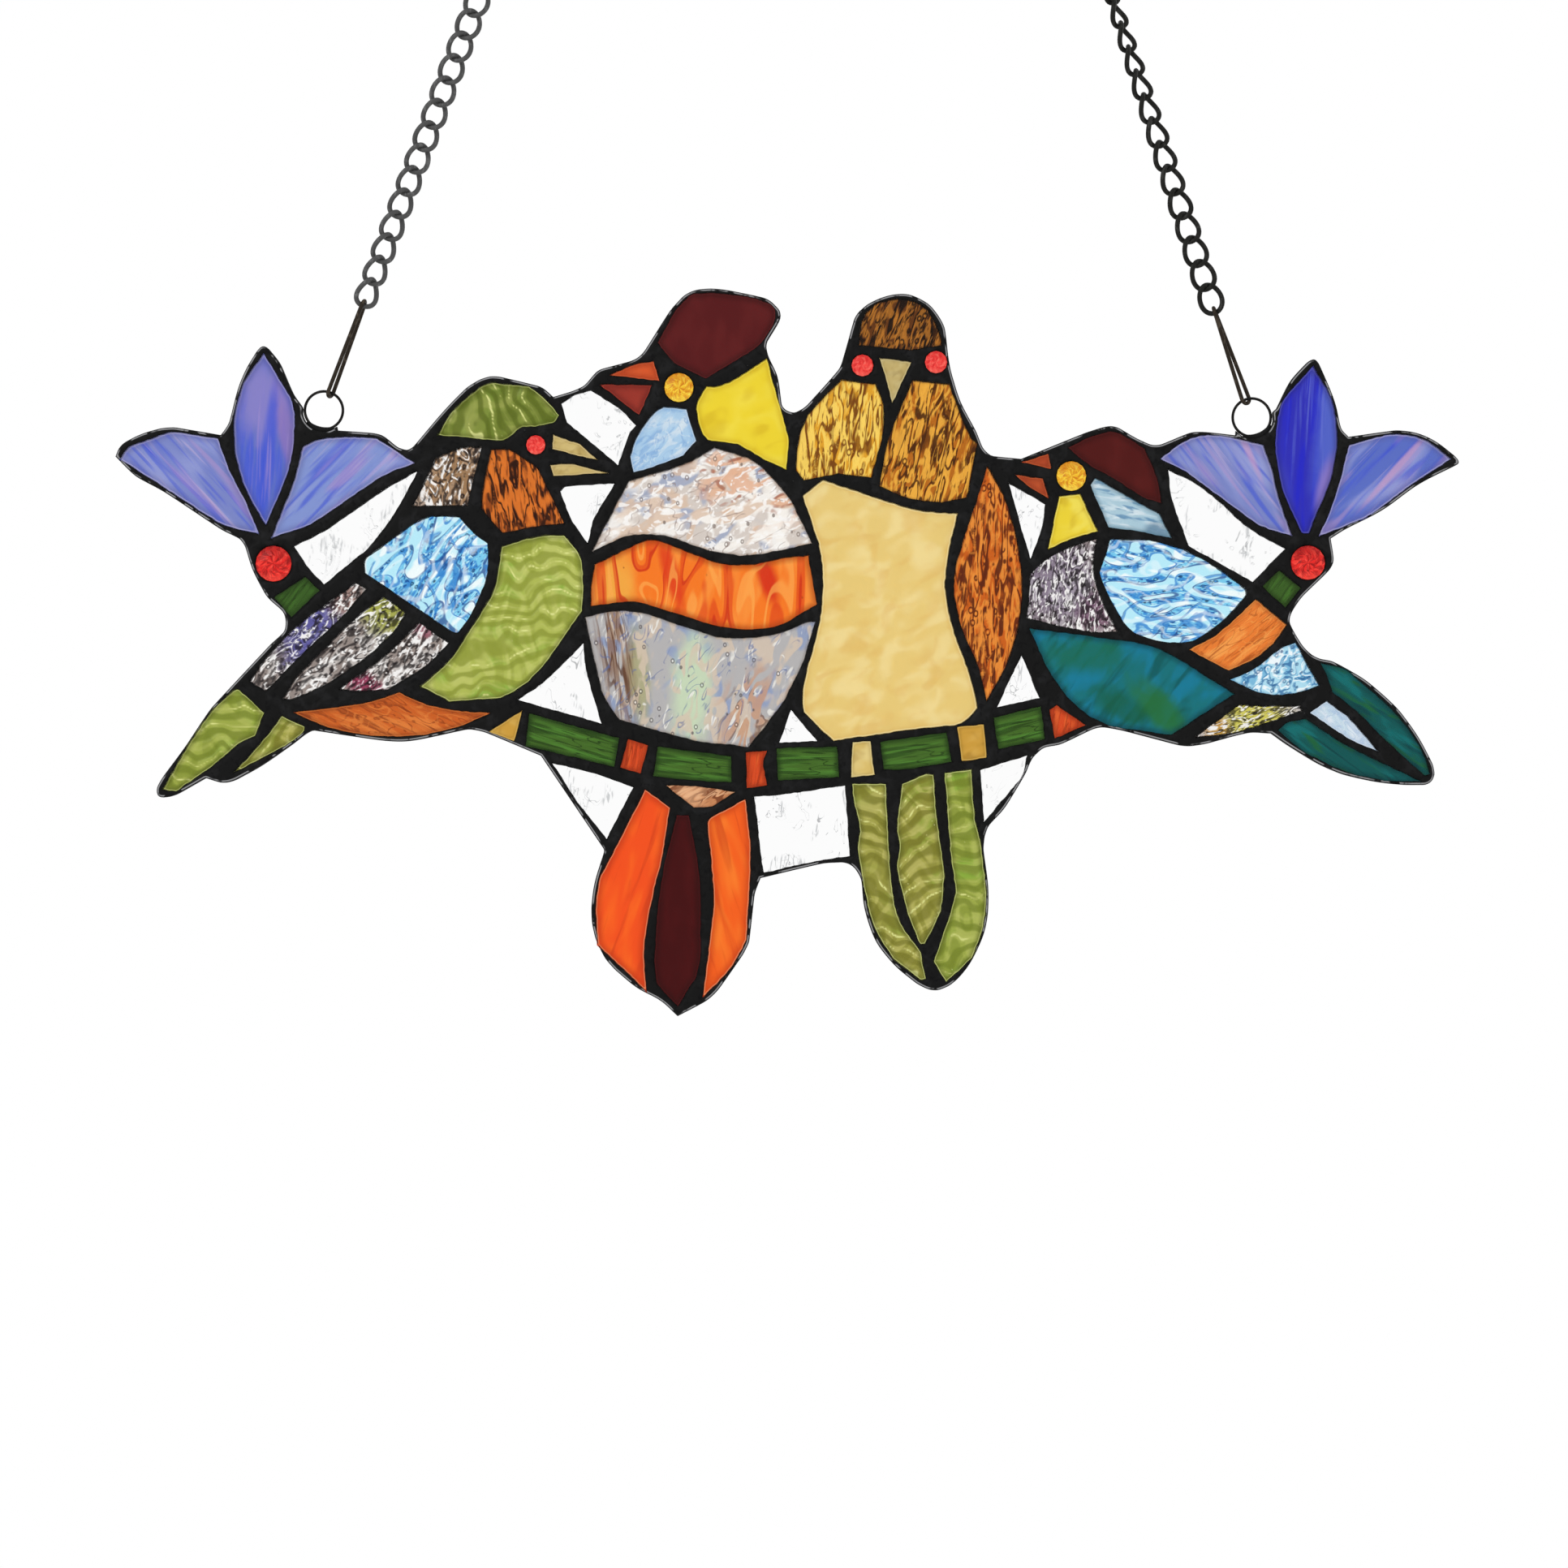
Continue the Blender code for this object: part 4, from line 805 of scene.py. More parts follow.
def upper_breast_finish():
    """Mottled white glass with rusty waves to the upper right."""
    look = cathedral("upper_breast", linear(218, 208, 200), 0.1, 0.84)
    look.coat(linear(160, 172, 198), 0.85, look.streaks(11, 18, 64, (0, 0), 0.5, 0.6, 1.0, 0.8))
    look.coat(linear(252, 248, 242), 0.9, look.streaks(8, 14, 60, (30, 80), 0.46, 0.56, 2.0, 0.6))
    look.coat(linear(222, 194, 170), 0.8, look.streaks(8, 15, 66, (80, 20), 0.52, 0.6, 1.0, 0.9))
    upper = look.area(252, 212, 62, 34, 20, 0.9)
    wave = look.contour(9, 24, 74, (20, 10), 4.0, 1.6, 0.5)
    patchy = look.streaks(6, 9, 40, (61, 17), 0.44, 0.54, 1.5, 0.6)
    look.coat(linear(232, 182, 148), 0.85, upper, look.near(wave, 0.6, 0.3))
    look.coat(linear(168, 90, 54), 0.85, upper, patchy, look.near(wave, 0.36, 0.1))
    look.coat(linear(252, 250, 246), 0.85, patchy, look.near(wave, 0.86, 0.12))
    look.coat(linear(254, 252, 250), 0.8, look.streaks(2.2, 3.4, 70, (7, 90), 0.56, 0.62, 1.5, 0.6))
    look.coat(linear(150, 130, 122), 0.7, patchy, look.lines(7, 14, 66, (11, 7), 2.4, 0.03, 1.5, 0.6))
    look.coat(linear(120, 104, 96), 0.8, look.bubbles(4.4, 0.62, True))
    look.coat(linear(250, 248, 246), 0.85, look.bubbles(4.4, 0.34, False))
    # Painted shade beside the lead.
    look.coat(linear(130, 108, 90), 0.5, look.edge(1.3))
    return look.material


def lower_breast_finish():
    """Mottled grey-blue glass, green in the middle and rusty to the lower right."""
    look = cathedral("lower_breast", linear(186, 184, 184), 0.12, 0.84)
    look.coat(linear(146, 162, 196), 0.85, look.streaks(9, 16, 20, (7, 3), 0.5, 0.6, 1.0, 0.8))
    look.coat(linear(206, 224, 190), 0.85, look.area(227, 128, 18, 50, 4, 0.7))
    look.coat(linear(176, 172, 122), 0.8, look.area(206, 132, 10, 44, -4, 0.7))
    look.coat(linear(218, 200, 180), 0.8, look.streaks(6, 12, 12, (22, 31), 0.52, 0.6, 1.0, 0.8))
    lower = look.area(250, 116, 28, 46, 12, 0.9)
    wave = look.contour(8, 18, 24, (4, 44), 4.0, 1.6, 0.5)
    patchy = look.streaks(7, 10, 20, (61, 17), 0.46, 0.56, 1.5, 0.6)
    look.coat(linear(204, 156, 122), 0.8, lower, look.near(wave, 0.6, 0.28))
    look.coat(linear(120, 78, 58), 0.75, lower, patchy, look.near(wave, 0.34, 0.08))
    look.coat(linear(240, 238, 232), 0.8, patchy, look.near(wave, 0.86, 0.1))
    left = look.area(197, 142, 14, 60, -8, 0.5)
    look.coat(linear(142, 104, 76), 0.8, left, look.streaks(3, 30, -7, (1, 2), 0.44, 0.54, 1.0, 0.5))
    look.coat(linear(96, 58, 36), 0.85, left, look.lines(3, 30, -7, (5, 5), 2.6, 0.1, 1.0, 0.6))
    look.coat(linear(94, 112, 160), 0.65, patchy, look.lines(6, 14, 30, (40, 9), 2.6, 0.04, 1.5, 0.6))
    look.coat(linear(92, 86, 90), 0.8, look.bubbles(4.8, 0.62, True, (3, 8)))
    look.coat(linear(246, 246, 244), 0.8, look.bubbles(4.8, 0.34, False, (3, 8)))
    # Painted shade beside the lead.
    look.coat(linear(120, 104, 92), 0.45, look.edge(1.3))
    return look.material


def band_finish():
    """Orange glass with tall red flames and amber light between them."""
    look = opal("breast_band", linear(248, 126, 36), 0.12, 0.88)
    look.coat(linear(252, 152, 62), 0.85, look.streaks(7, 30, 6, (0, 0), 0.44, 0.6, 1.0, 0.7))
    look.coat(linear(244, 174, 70), 0.9, look.area(197, 166, 16, 36, 8, 0.6))
    flame = look.contour(12, 44, 5, (5, 0), 3.2, 0.8, 0.6)
    look.coat(linear(226, 70, 22), 0.7, look.near(flame, 0.5, 0.16))
    look.coat(linear(208, 50, 20), 0.8, look.near(flame, 0.4, 0.06))
    look.coat(linear(226, 66, 26), 0.9, look.area(219, 174, 7, 34, -16, 0.5))
    look.coat(linear(218, 50, 22), 0.95, look.area(257, 172, 8, 24, -14, 0.6))
    look.coat(linear(255, 176, 84), 0.6, look.near(flame, 0.86, 0.09))
    look.coat(linear(130, 50, 16), 0.8, look.bubbles(6, 0.3, False))
    # Painted shade beside the lead.
    look.coat(linear(170, 66, 16), 0.7, look.edge(3.0))
    return look.material


def streaky_finish(name, base, light, dark, turn, across=2.2, along=22, at=(0.0, 0.0), transmission=0.84):
    """Opal with light and dark streaks, painted shade beside the lead and a painted highlight along the cut
    edge.
    """
    look = opal(name, base, 0.22, transmission)
    look.coat(light, 0.85, look.streaks(across * 1.6, along, turn, at, 0.46, 0.64))
    look.coat(dark, 0.75, look.streaks(across, along, turn, (at[0] + 25, at[1]), 0.52, 0.66, 4.0, 1.0))
    look.coat(dark, 0.6, look.lines(across * 3, along, turn, (at[0], at[1] + 17), 2.6, 0.04))
    look.coat(light, 0.6, look.lines(across * 2.4, along, turn, (at[0], at[1] + 71), 2.6, 0.05))
    # Painted shade beside the lead, and a painted highlight along the cut edge.
    look.coat(dark, 0.6, look.edge(2.2))
    look.coat(light, 0.5, look.edge_highlight(0.2, 0.36))
    return look.material


def glow_finish(name, base, light, dark, turn, at=(0.0, 0.0)):
    """Bright opal with painted shade that deepens towards the lead, and a painted highlight along the cut
    edge.
    """
    look = opal(name, base, 0.3, 0.8)
    look.coat(light, 0.8, look.streaks(8, 34, turn, at, 0.42, 0.66, 2.0, 0.5))
    look.coat(dark, 0.7, look.streaks(4, 40, turn, (at[0] + 30, at[1]), 0.54, 0.7, 3.0, 0.6))
    # Painted shade beside the lead, and a painted highlight along the cut edge.
    look.coat(dark, 0.85, look.edge(3.6))
    look.coat(linear(255, 178, 128), 0.55, look.edge_highlight(0.2, 0.36))
    return look.material


def cream_finish(name, base, light, dark, at=(0.0, 0.0), scale=1.0):
    """Cloudy opal, with painted shade beside the lead and a painted highlight along the cut edge."""
    look = opal(name, base, 0.3, 0.76)
    look.coat(light, 0.6, look.streaks(8 * scale, 12 * scale, 66, at, 0.4, 0.68, 1.5, 0.6))
    look.coat(dark, 0.5, look.streaks(7 * scale, 11 * scale, 60, (at[0] + 40, at[1]), 0.48, 0.72, 1.5, 0.6))
    # Painted shade beside the lead, and a painted highlight along the cut edge.
    look.coat(dark, 0.6, look.edge(2.4 * scale))
    look.coat(light, 0.75, look.edge_highlight(0.25, 0.5))
    return look.material


def solid_finish(name, base, dark, light, turn=0.0, roughness=0.25, transmission=0.78):
    """Even opal, with painted shade beside the lead and a painted highlight along its cut edge."""
    look = opal(name, base, roughness, transmission)
    look.shader.inputs["Specular IOR Level"].default_value = 0.06
    look.coat(light, 0.5, look.streaks(7, 16, turn, (0, 0), 0.42, 0.72, 1.5, 0.5))
    # Painted shade beside the lead, and a painted highlight along the cut edge.
    look.coat(dark, 0.7, look.edge(3.2))
    look.coat(light, 0.6, look.edge_highlight(0.2, 0.36))
    return look.material


def belly_finish():
    look = opal("teal_belly", linear(24, 118, 126), 0.25, 0.8)
    look.coat(linear(24, 128, 158), 0.9, look.streaks(7, 20, 34, (0, 0), 0.44, 0.62))
    look.coat(linear(14, 92, 92), 0.85, look.streaks(5, 22, 38, (30, 10), 0.48, 0.64))
    look.coat(linear(40, 116, 54), 0.85, look.area(412, 120, 14, 34, -42, 1.0))
    look.coat(linear(26, 108, 72), 0.7, look.area(384, 142, 40, 16, 0, 1.0))
    look.coat(linear(20, 96, 62), 0.7, look.area(396, 122, 30, 12, 30, 1.0))
    # Painted shade beside the lead.
    look.coat(linear(8, 62, 70), 0.65, look.edge(3.0))
    return look.material


def teal_tail_finish():
    look = opal("teal_tail", linear(18, 90, 88), 0.25, 0.8)
    look.coat(linear(22, 116, 116), 0.85, look.streaks(4, 24, 128, (0, 0), 0.46, 0.64))
    look.coat(linear(34, 104, 56), 0.85, look.streaks(4, 20, 120, (20, 60), 0.52, 0.66))
    look.coat(linear(10, 62, 66), 0.7, look.streaks(2, 24, 126, (50, 10), 0.54, 0.66))
    look.coat(linear(170, 214, 218), 0.8, look.bubbles(8, 0.3, False))
    # Painted shade beside the lead.
    look.coat(linear(6, 50, 54), 0.65, look.edge(2.6))
    return look.material


def flank_finish():
    """Pale blue glass with a close net of dark blue lines."""
    look = cathedral("blue_flank", linear(176, 222, 240), 0.06, 0.95)
    look.coat(linear(110, 178, 216), 0.8, look.streaks(5, 8, 20, (30, 9), 0.5, 0.58, 1.0, 0.6))
    net = look.contour(4.2, 6.2, 20, (0, 0), 4.0, 1.0, 0.9)
    look.coat(linear(58, 116, 168), 0.9, look.near(net, 0.25, 0.14))
    look.coat(linear(246, 252, 254), 0.9, look.near(net, 0.62, 0.16))
    look.coat(linear(40, 88, 138), 0.85, look.bubbles(2.4, 0.55, True, (5, 5), 20, 1.3))
    # Painted shade beside the lead.
    look.coat(linear(90, 140, 176), 0.5, look.edge(0.9))
    return look.material


def neck_finish():
    look = opal("neck_blue", linear(176, 206, 220), 0.15, 0.86)
    look.coat(linear(220, 234, 240), 0.9, look.streaks(3, 12, 100, (0, 0), 0.46, 0.62))
    look.coat(linear(104, 150, 184), 0.9, look.streaks(2.2, 11, 104, (30, 9), 0.52, 0.62))
    look.coat(linear(84, 120, 150), 0.7, look.area(410, 190, 12, 10, 30, 0.9))
    # Painted shade beside the lead.
    look.coat(linear(90, 130, 150), 0.6, look.edge(2.0))
    return look.material


def branch_finish(name, base, light, dark, turn, at):
    """Opal with dark hairlines that run along the branch, and painted shade beside the lead."""
    look = opal(name, base, 0.24, 0.8)
    look.coat(light, 0.8, look.streaks(2.4, 26, turn, at, 0.46, 0.66))
    look.coat(dark, 0.7, look.streaks(1.2, 26, turn, (at[0], at[1] + 20), 0.54, 0.64))
    look.coat(dark, 0.8, look.lines(5, 40, turn, (at[0] + 9, at[1]), 2.6, 0.045))
    # Painted shade beside the lead.
    look.coat(dark, 0.85, look.edge(2.6))
    return look.material


def jewel_finish(name, base, dark, light):
    """A cut stone with painted light and shade: each facet gets its own darker or lighter tone, and the top
    half is painted darker and the bottom lighter.
    """
    look = cathedral(name, base, 0.03, 0.92)
    # Painted shade and light by facet, then painted shade on the top half and painted light on the bottom.
    look.coat(dark, 0.85, look.rise(look.noted("facet"), 0.5, 0.8))
    look.coat(light, 0.9, look.rise(look.noted("facet"), 0.34, 0.12))
    look.coat(dark, 0.6, look.rise(look.noted("height"), 0.5, 1.0))
    look.coat(light, 0.6, look.rise(look.noted("height"), 0.3, 0.0))
    return look.material


def solder_finish(colours):
    look = Finish("solder", colours.solder, 0.34, 0.0, 0.0, 0.14)
    look.coat(linear(34, 34, 35), 0.7, look.streaks(6, 6, 0, (0, 0), 0.45, 0.72, 4.0))
    look.coat(linear(14, 14, 15), 0.7, look.streaks(2.4, 2.4, 0, (30, 30), 0.52, 0.7))
    # A lighter line along the outer rim: partly exposed foil edge, partly a painted highlight.
    rim = look.near(look.noted("rim"), 0.66, 0.32)
    look.coat(linear(142, 142, 144), 0.9, rim, look.streaks(7, 7, 0, (70, 9), 0.44, 0.52, 2.0))
    look.coat(linear(84, 84, 86), 0.7, look.bubbles(9, 0.18, False, stretch=1.0))
    look.dents(look.noise(0.8, 0.8), 0.12, 0.5)
    return look.material


def wire_finish(name, base, worn, metallic=0.3):
    look = Finish(name, base, 0.4, 0.0, metallic, 0.2)
    look.coat(worn, 0.6, look.streaks(1.6, 3.0, 0, (0, 0), 0.5, 0.72, 4.0))
    look.dents(look.noise(0.5, 0.5), 0.05, 0.4)
    return look.material


# Leading


def matched(rings, x, z):
    """The outline that lies about a point of the sheet."""
    return min(rings, key=lambda ring: math.dist(ring_middle(ring), (x, z)))


class Sheet:
    """The panel's outlines, read once from the leading's solid."""

    outer = None
    holes = []


def read_sheet():
    if Sheet.outer is None:
        rings = sorted(face_rings("leading", -2.5), key=lambda ring: -abs(ring_area(ring)))
        Sheet.outer = smooth_ring(rings[0], 1.2)
        Sheet.holes = []
        for ring in rings[1:]:
            middle = ring_middle(ring)
            if any(math.dist(middle, at) < 1.0 for at, _ in JEWELS.values()):
                radius = float(np.linalg.norm(ring - np.array(middle), axis=1).max())
                Sheet.holes.append(round_ring(middle, radius, 1.0))
            else:
                Sheet.holes.append(ragged_ring(smooth_ring(ring, 0.9), 7))


def solder_region(sizes):
    """Points and triangles of the leading's face, with a search tree of its edges."""
    rings = [Sheet.outer] + Sheet.holes
    tree = shore_tree(rings)
    grid = hex_grid(Sheet.outer.min(axis=0), Sheet.outer.max(axis=0), sizes.grid / MM)
    grid = grid[inside(grid, rings)]
    grid = grid[shore_distance(grid, tree) > 0.95]
    lip = np.concatenate([grown(Sheet.outer, -0.42)] + [grown(hole, 0.42) for hole in Sheet.holes])
    lip = lip[shore_distance(lip, tree) > 0.36]
    lip = lip[inside(lip, rings)]
    points, triangles = triangulated(rings, np.concatenate([lip, grid]))
    return points, triangles, shore_distance(points, tree)


def bead_height(points, gone, sizes):
    """Half the thickness of the solder at each point."""
    rise = np.clip(gone / (sizes.shoulder / MM), 0, 1)
    swell = np.sqrt(np.clip(1 - (1 - rise) ** 2, 0, 1))
    x, z = points[:, 0], points[:, 1]
    lumps = field(x, z, 7, 7, 20, 3) - 0.5 + 0.5 * (field(x, z, 2.4, 2.4, 0, 4) - 0.5)
    lumps = lumps * np.clip(gone / 1.2, 0, 1) * sizes.lumps / MM
    return sizes.shore / MM + (sizes.crest - sizes.shore) / MM * swell + lumps


def build_solder(settings):
    sizes = settings.leading
    points, triangles, gone = solder_region(sizes)
    gone = np.where(gone < 0.05, 0.0, gone)
    front = bead_height(points, gone, sizes)
    back = bead_height(points[:, ::-1], gone, sizes)
    # rim is the distance from the outer edge, for the lighter rim line that the finish paints there, partly
    # foil edge and partly painted highlight.
    notes = {"rim": np.minimum(shore_distance(points, shore_tree([Sheet.outer])), 9)}
    piece = plate("solder_leading", points, triangles, front, back, notes)
    place_piece(piece, solder_finish(settings.colours), ("leading",))


# Sheets of glass


RELIEFS = {
    "ripple": (ripple, "rolled_grid"), "bark": (bark, "fine_grid"), "crinkle": (crinkle, "fine_grid"),
    "veined": (veined, "rolled_grid"), "seedy": (seedy, "rolled_grid"), "hammered": (hammered, "plain_grid"),
    "plain": (plain, "plain_grid"),
}


def glass_region(ring, spacing, tuck):
    """Points and triangles of a sheet that runs a little under the solder, and how far in each point is."""
    rim = grown(ring, tuck)
    tree = shore_tree([ring])
    grid = hex_grid(ring.min(axis=0), ring.max(axis=0), spacing)
    grid = grid[inside(grid, [ring])]
    grid = grid[shore_distance(grid, tree) > 0.55 + 0.3 * spacing]
    lip = grown(ring, -0.5)
    lip = lip[inside(lip, [ring])]
    lip = lip[shore_distance(lip, tree) > 0.42]
    points, triangles = triangulated([rim], np.concatenate([ring, lip, grid]))
    gone = shore_distance(points, tree)
    return points, triangles, np.where(inside(points, [ring]) | (gone < 0.05), gone, -gone)


def lay_sheet(name, ring, kind, turn, finish, settings, half, nodes=()):
    """Cuts one sheet of glass to its opening."""
    sizes = settings.glass
    relief, grid = RELIEFS[kind]
    points, triangles, gone = glass_region(ring, getattr(sizes, grid) / MM, sizes.tuck / MM)
    seed = 11 + sum(ord(letter) for letter in name)
    height, crest = relief(points[:, 0], points[:, 1], turn, seed)
    swell = height / max(float(height.max()), 1e-6)
    back = np.full(len(points), half / MM) + 0.05 * field(points[:, 0], points[:, 1], 9, 9, 0, seed)
    # crest and swell carry the relief to the finishes, for painted highlights on crests and painted shade and
    # light on the swells; shore is the distance from the lead, for painted shade beside it and a painted
    # highlight at the cut edge.
    notes = {"crest": crest, "swell": swell, "shore": np.clip(gone, -1, 9)}
    front = half / MM - 0.12 + height
    piece = plate(name, points, triangles, front, back, notes)
    place_piece(piece, finish, nodes)
    return piece


def box_gap(ring, low, high):
    """How far an outline's box is from a node's box, in millimetres."""
    across = abs(ring[:, 0].min() - low.x / MM - HANG_X) + abs(ring[:, 0].max() - high.x / MM - HANG_X)
    upward = abs(ring[:, 1].min() - low.z / MM - HANG_Z) + abs(ring[:, 1].max() - high.z / MM - HANG_Z)
    return across + upward


def lay_node_sheet(node, kind, turn, finish, settings):
    low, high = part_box(node)
    hole = min(Sheet.holes, key=lambda ring: box_gap(ring, low, high))
    return lay_sheet(f"glass_{node}", hole, kind, turn, finish, settings, settings.glass.half, (node,))


def lay_tile(name, x, z, kind, turn, finish, settings):
    hole = matched(Sheet.holes, x, z)
    return lay_sheet(f"tile_{name}", hole, kind, turn, finish, settings, settings.glass.tile_half)


def lay_all(settings, rows):
    """Lays a sheet for each row: a node or a tile's name and place, then its relief, turn and finish."""
    for row in rows:
        if len(row) == 4:
            lay_node_sheet(*row, settings)
        else:
            lay_tile(*row, settings)


def build_petals(settings):
    left_1 = petal_finish("petal_left", linear(130, 142, 204), -42, (0, 0))
    right_1 = petal_finish("petal_right", linear(138, 156, 214), 44, (60, 0))
    left_2 = petal_finish("petal_left_2", linear(130, 142, 204), -38, (120, 0), [(444, 228, 3, 40, -24)])
    right_2 = petal_finish("petal_right_2", linear(98, 118, 202), 44, (180, 40), [(505, 216, 3, 44, 42)])
    lay_all(settings, (
        ("petal_1_left", "plain", -50, left_1),
        ("petal_1_middle", "plain", 5, middle_petal_finish()),
        ("petal_1_right", "plain", 50, right_1),
        ("petal_2_left", "plain", -50, left_2),
        ("petal_2_middle", "plain", 5, deep_petal_finish()),
        ("petal_2_right", "plain", 50, right_2),
    ))


def build_clear(settings):
    finish = clear_finish(settings.colours)
    nodes = [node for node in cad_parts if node.startswith("clear_")]
    tiles = (("clear_between_birds", 268, 112), ("clear_under_beak_4", 360, 197),
             ("clear_by_wing_3", 356, 130))
    lay_all(settings, [(node, "seedy", 10, finish) for node in nodes])
    lay_all(settings, [(*tile, "seedy", 10, finish) for tile in tiles])


# Each green: its base, a dark tone for painted shade, a light tone for painted light, and a leafier tone for
# its streaks.
GREENS = {
    "head": (linear(132, 146, 62), linear(92, 106, 28), linear(168, 174, 92), linear(110, 146, 48)),
    "belly": (linear(178, 188, 88), linear(142, 152, 54), linear(204, 208, 120), linear(140, 178, 66)),
    "tail": (linear(160, 172, 74), linear(118, 132, 40), linear(188, 194, 104), linear(132, 176, 58)),
    "olive": (linear(166, 164, 76), linear(122, 120, 38), linear(198, 192, 112), linear(150, 166, 66)),
}


def bird_1_silvers():
    """The crinkled collar and the three feathers, each with its own patches of colour."""
    olive, violet, wine = linear(166, 170, 60), linear(86, 84, 160), linear(150, 44, 84)
    brown, rust = linear(160, 118, 70), linear(150, 110, 100)
    reds = [(wine, 98, 130, 26, 12, 0.9), (wine, 120, 154, 14, 10, 0.7)]
    blues = [(violet, 76, 150, 20, 34, 0.9), (rust, 90, 164, 14, 16, 0.8)]
    return (
        silver_finish("collar_silver", 20, [(brown, 132, 212, 40, 40, 0.8)], (0, 0), 1.1),
        silver_finish("feather_upper_silver", 44, blues, (20, 0)),
        silver_finish("feather_middle_silver", 44, [(olive, 106, 160, 24, 22, 0.9)], (40, 0), 1.15),
        silver_finish("feather_lower_silver", 40, reds, (60, 0)),
    )


def build_bird_1(settings):
    tan = settings.colours.tan
    cheek = bark_finish("cheek_bark", linear(156, 76, 26), linear(44, 18, 8), linear(226, 122, 44), -8,
                        (0, 0))
    collar, upper, middle, lower = bird_1_silvers()
    orange = (linear(206, 100, 38), linear(230, 134, 62), linear(132, 52, 18))
    beak = cream_finish("beak_tan", tan, linear(228, 206, 146), linear(160, 130, 66), (0, 0), 0.5)
    lay_all(settings, (
        ("bird_1_head", "ripple", -14, green_finish("green_head", *GREENS["head"], -14, (0, 0))),
        ("bird_1_belly", "ripple", 84, green_finish("green_belly", *GREENS["belly"], 84, (50, 0))),
        ("bird_1_tail_upper", "ripple", 100, green_finish("green_tail", *GREENS["tail"], 60, (90, 30))),
        ("bird_1_tail_lower", "ripple", 40,
         green_finish("green_tail_lower", *GREENS["olive"], 30, (120, 30))),
        ("bird_1_cheek", "bark", -8, cheek),
        ("bird_1_collar", "crinkle", 20, collar),
        ("bird_1_feather_upper", "crinkle", 44, upper),
        ("bird_1_feather_middle", "crinkle", 44, middle),
        ("bird_1_feather_lower", "crinkle", 40, lower),
        ("bird_1_wing", "veined", 36, wing_finish("wing_blue_1", 36, (0, 0))),
        ("bird_1_underbelly", "plain", 74, streaky_finish("underbelly", *orange, 116, 2.6, 26)),
        ("bird_1_beak_upper", 179, 224, "plain", 70, beak),
        ("bird_1_beak_lower", 180, 215, "plain", 80, beak),
    ))


def build_bird_2(settings):
    crest = solid_finish("crest_maroon", linear(92, 24, 26), linear(60, 16, 16), linear(108, 34, 34))
    maroon = solid_finish("tail_maroon", linear(72, 10, 12), linear(50, 8, 8), linear(86, 16, 18))
    blues = (linear(178, 210, 236), linear(220, 232, 240), linear(136, 178, 222))
    yellows = (linear(242, 218, 54), linear(248, 230, 84), linear(214, 178, 34))
    left = (linear(246, 86, 30), linear(255, 112, 34), linear(206, 62, 24))
    right = (linear(248, 102, 30), linear(255, 138, 46), linear(214, 74, 24))
    beak = solid_finish("beak_orange", linear(222, 94, 46), linear(170, 58, 28), linear(230, 110, 64))
    chin = solid_finish("beak_red", linear(160, 56, 44), linear(112, 32, 26), linear(176, 66, 50))
    browns = (linear(204, 138, 92), linear(128, 70, 40), linear(236, 184, 140))
    lay_all(settings, (
        ("bird_2_crest", "plain", 0, crest),
        ("bird_2_tail_middle", "plain", 0, maroon),
        ("bird_2_throat", "plain", 40, streaky_finish("throat_blue", *blues, 50, 3, 12)),
        ("bird_2_neck", "plain", 0, cream_finish("neck_yellow", *yellows, (90, 0), 1.2)),
        ("bird_2_body_upper", "seedy", 10, upper_breast_finish()),
        ("bird_2_band", "seedy", 4, band_finish()),
        ("bird_2_body_lower", "seedy", 10, lower_breast_finish()),
        ("bird_2_tail_left", "plain", 20, glow_finish("tail_orange", *left, 18)),
        ("bird_2_tail_right", "plain", -18, glow_finish("tail_orange_right", *right, -16, (40, 0))),
        ("bird_2_beak_upper", 207, 254, "plain", 70, beak),
        ("bird_2_beak_lower", 203, 245, "plain", 70, chin),
        ("bird_2_tail_top", 230, 87, "plain", 20, bark_finish("rump_brown", *browns, 60, (9, 9), 0.7)),
    ))


def build_bird_3(settings):
    crown = (linear(98, 54, 20), linear(26, 14, 8), linear(192, 122, 44))
    gold = (linear(226, 164, 44), linear(120, 66, 14), linear(252, 214, 100))
    brown = (linear(184, 106, 26), linear(76, 38, 8), linear(240, 176, 66))
    rust = (linear(204, 98, 26), linear(96, 36, 10), linear(236, 146, 58))
    cream = (linear(236, 208, 128), linear(248, 230, 168), linear(228, 188, 104))
    tan = (linear(202, 180, 116), linear(222, 206, 150), linear(160, 136, 78))
    lay_all(settings, (
        ("bird_3_crown", "bark", 22, bark_finish("crown_bark", *crown, 22, (30, 0), 0.6)),
        ("bird_3_shoulder_left", "bark", 4, bark_finish("shoulder_gold", *gold, 4, (50, 0), 0.9)),
        ("bird_3_shoulder_right", "bark", 12, bark_finish("shoulder_bark", *brown, 12, (70, 0))),
        ("bird_3_wing", "bark", 2, bark_finish("wing_bark", *rust, 2, (90, 0))),
        ("bird_3_body", "hammered", 12, cream_finish("breast_cream", *cream)),
        ("bird_3_tail_left", "ripple", 122, green_finish("green_tail_3", *GREENS["olive"], 118, (150, 20))),
        ("bird_3_tail_middle", "ripple", 60,
         green_finish("green_tail_middle", *GREENS["olive"], 62, (180, 20))),
        ("bird_3_tail_right", "ripple", 66, green_finish("green_tail_right", *GREENS["tail"], 66, (210, 20))),
        ("bird_3_beak", 307, 253, "plain", 0, cream_finish("beak_tan_3", *tan, (0, 0), 0.5)),
    ))


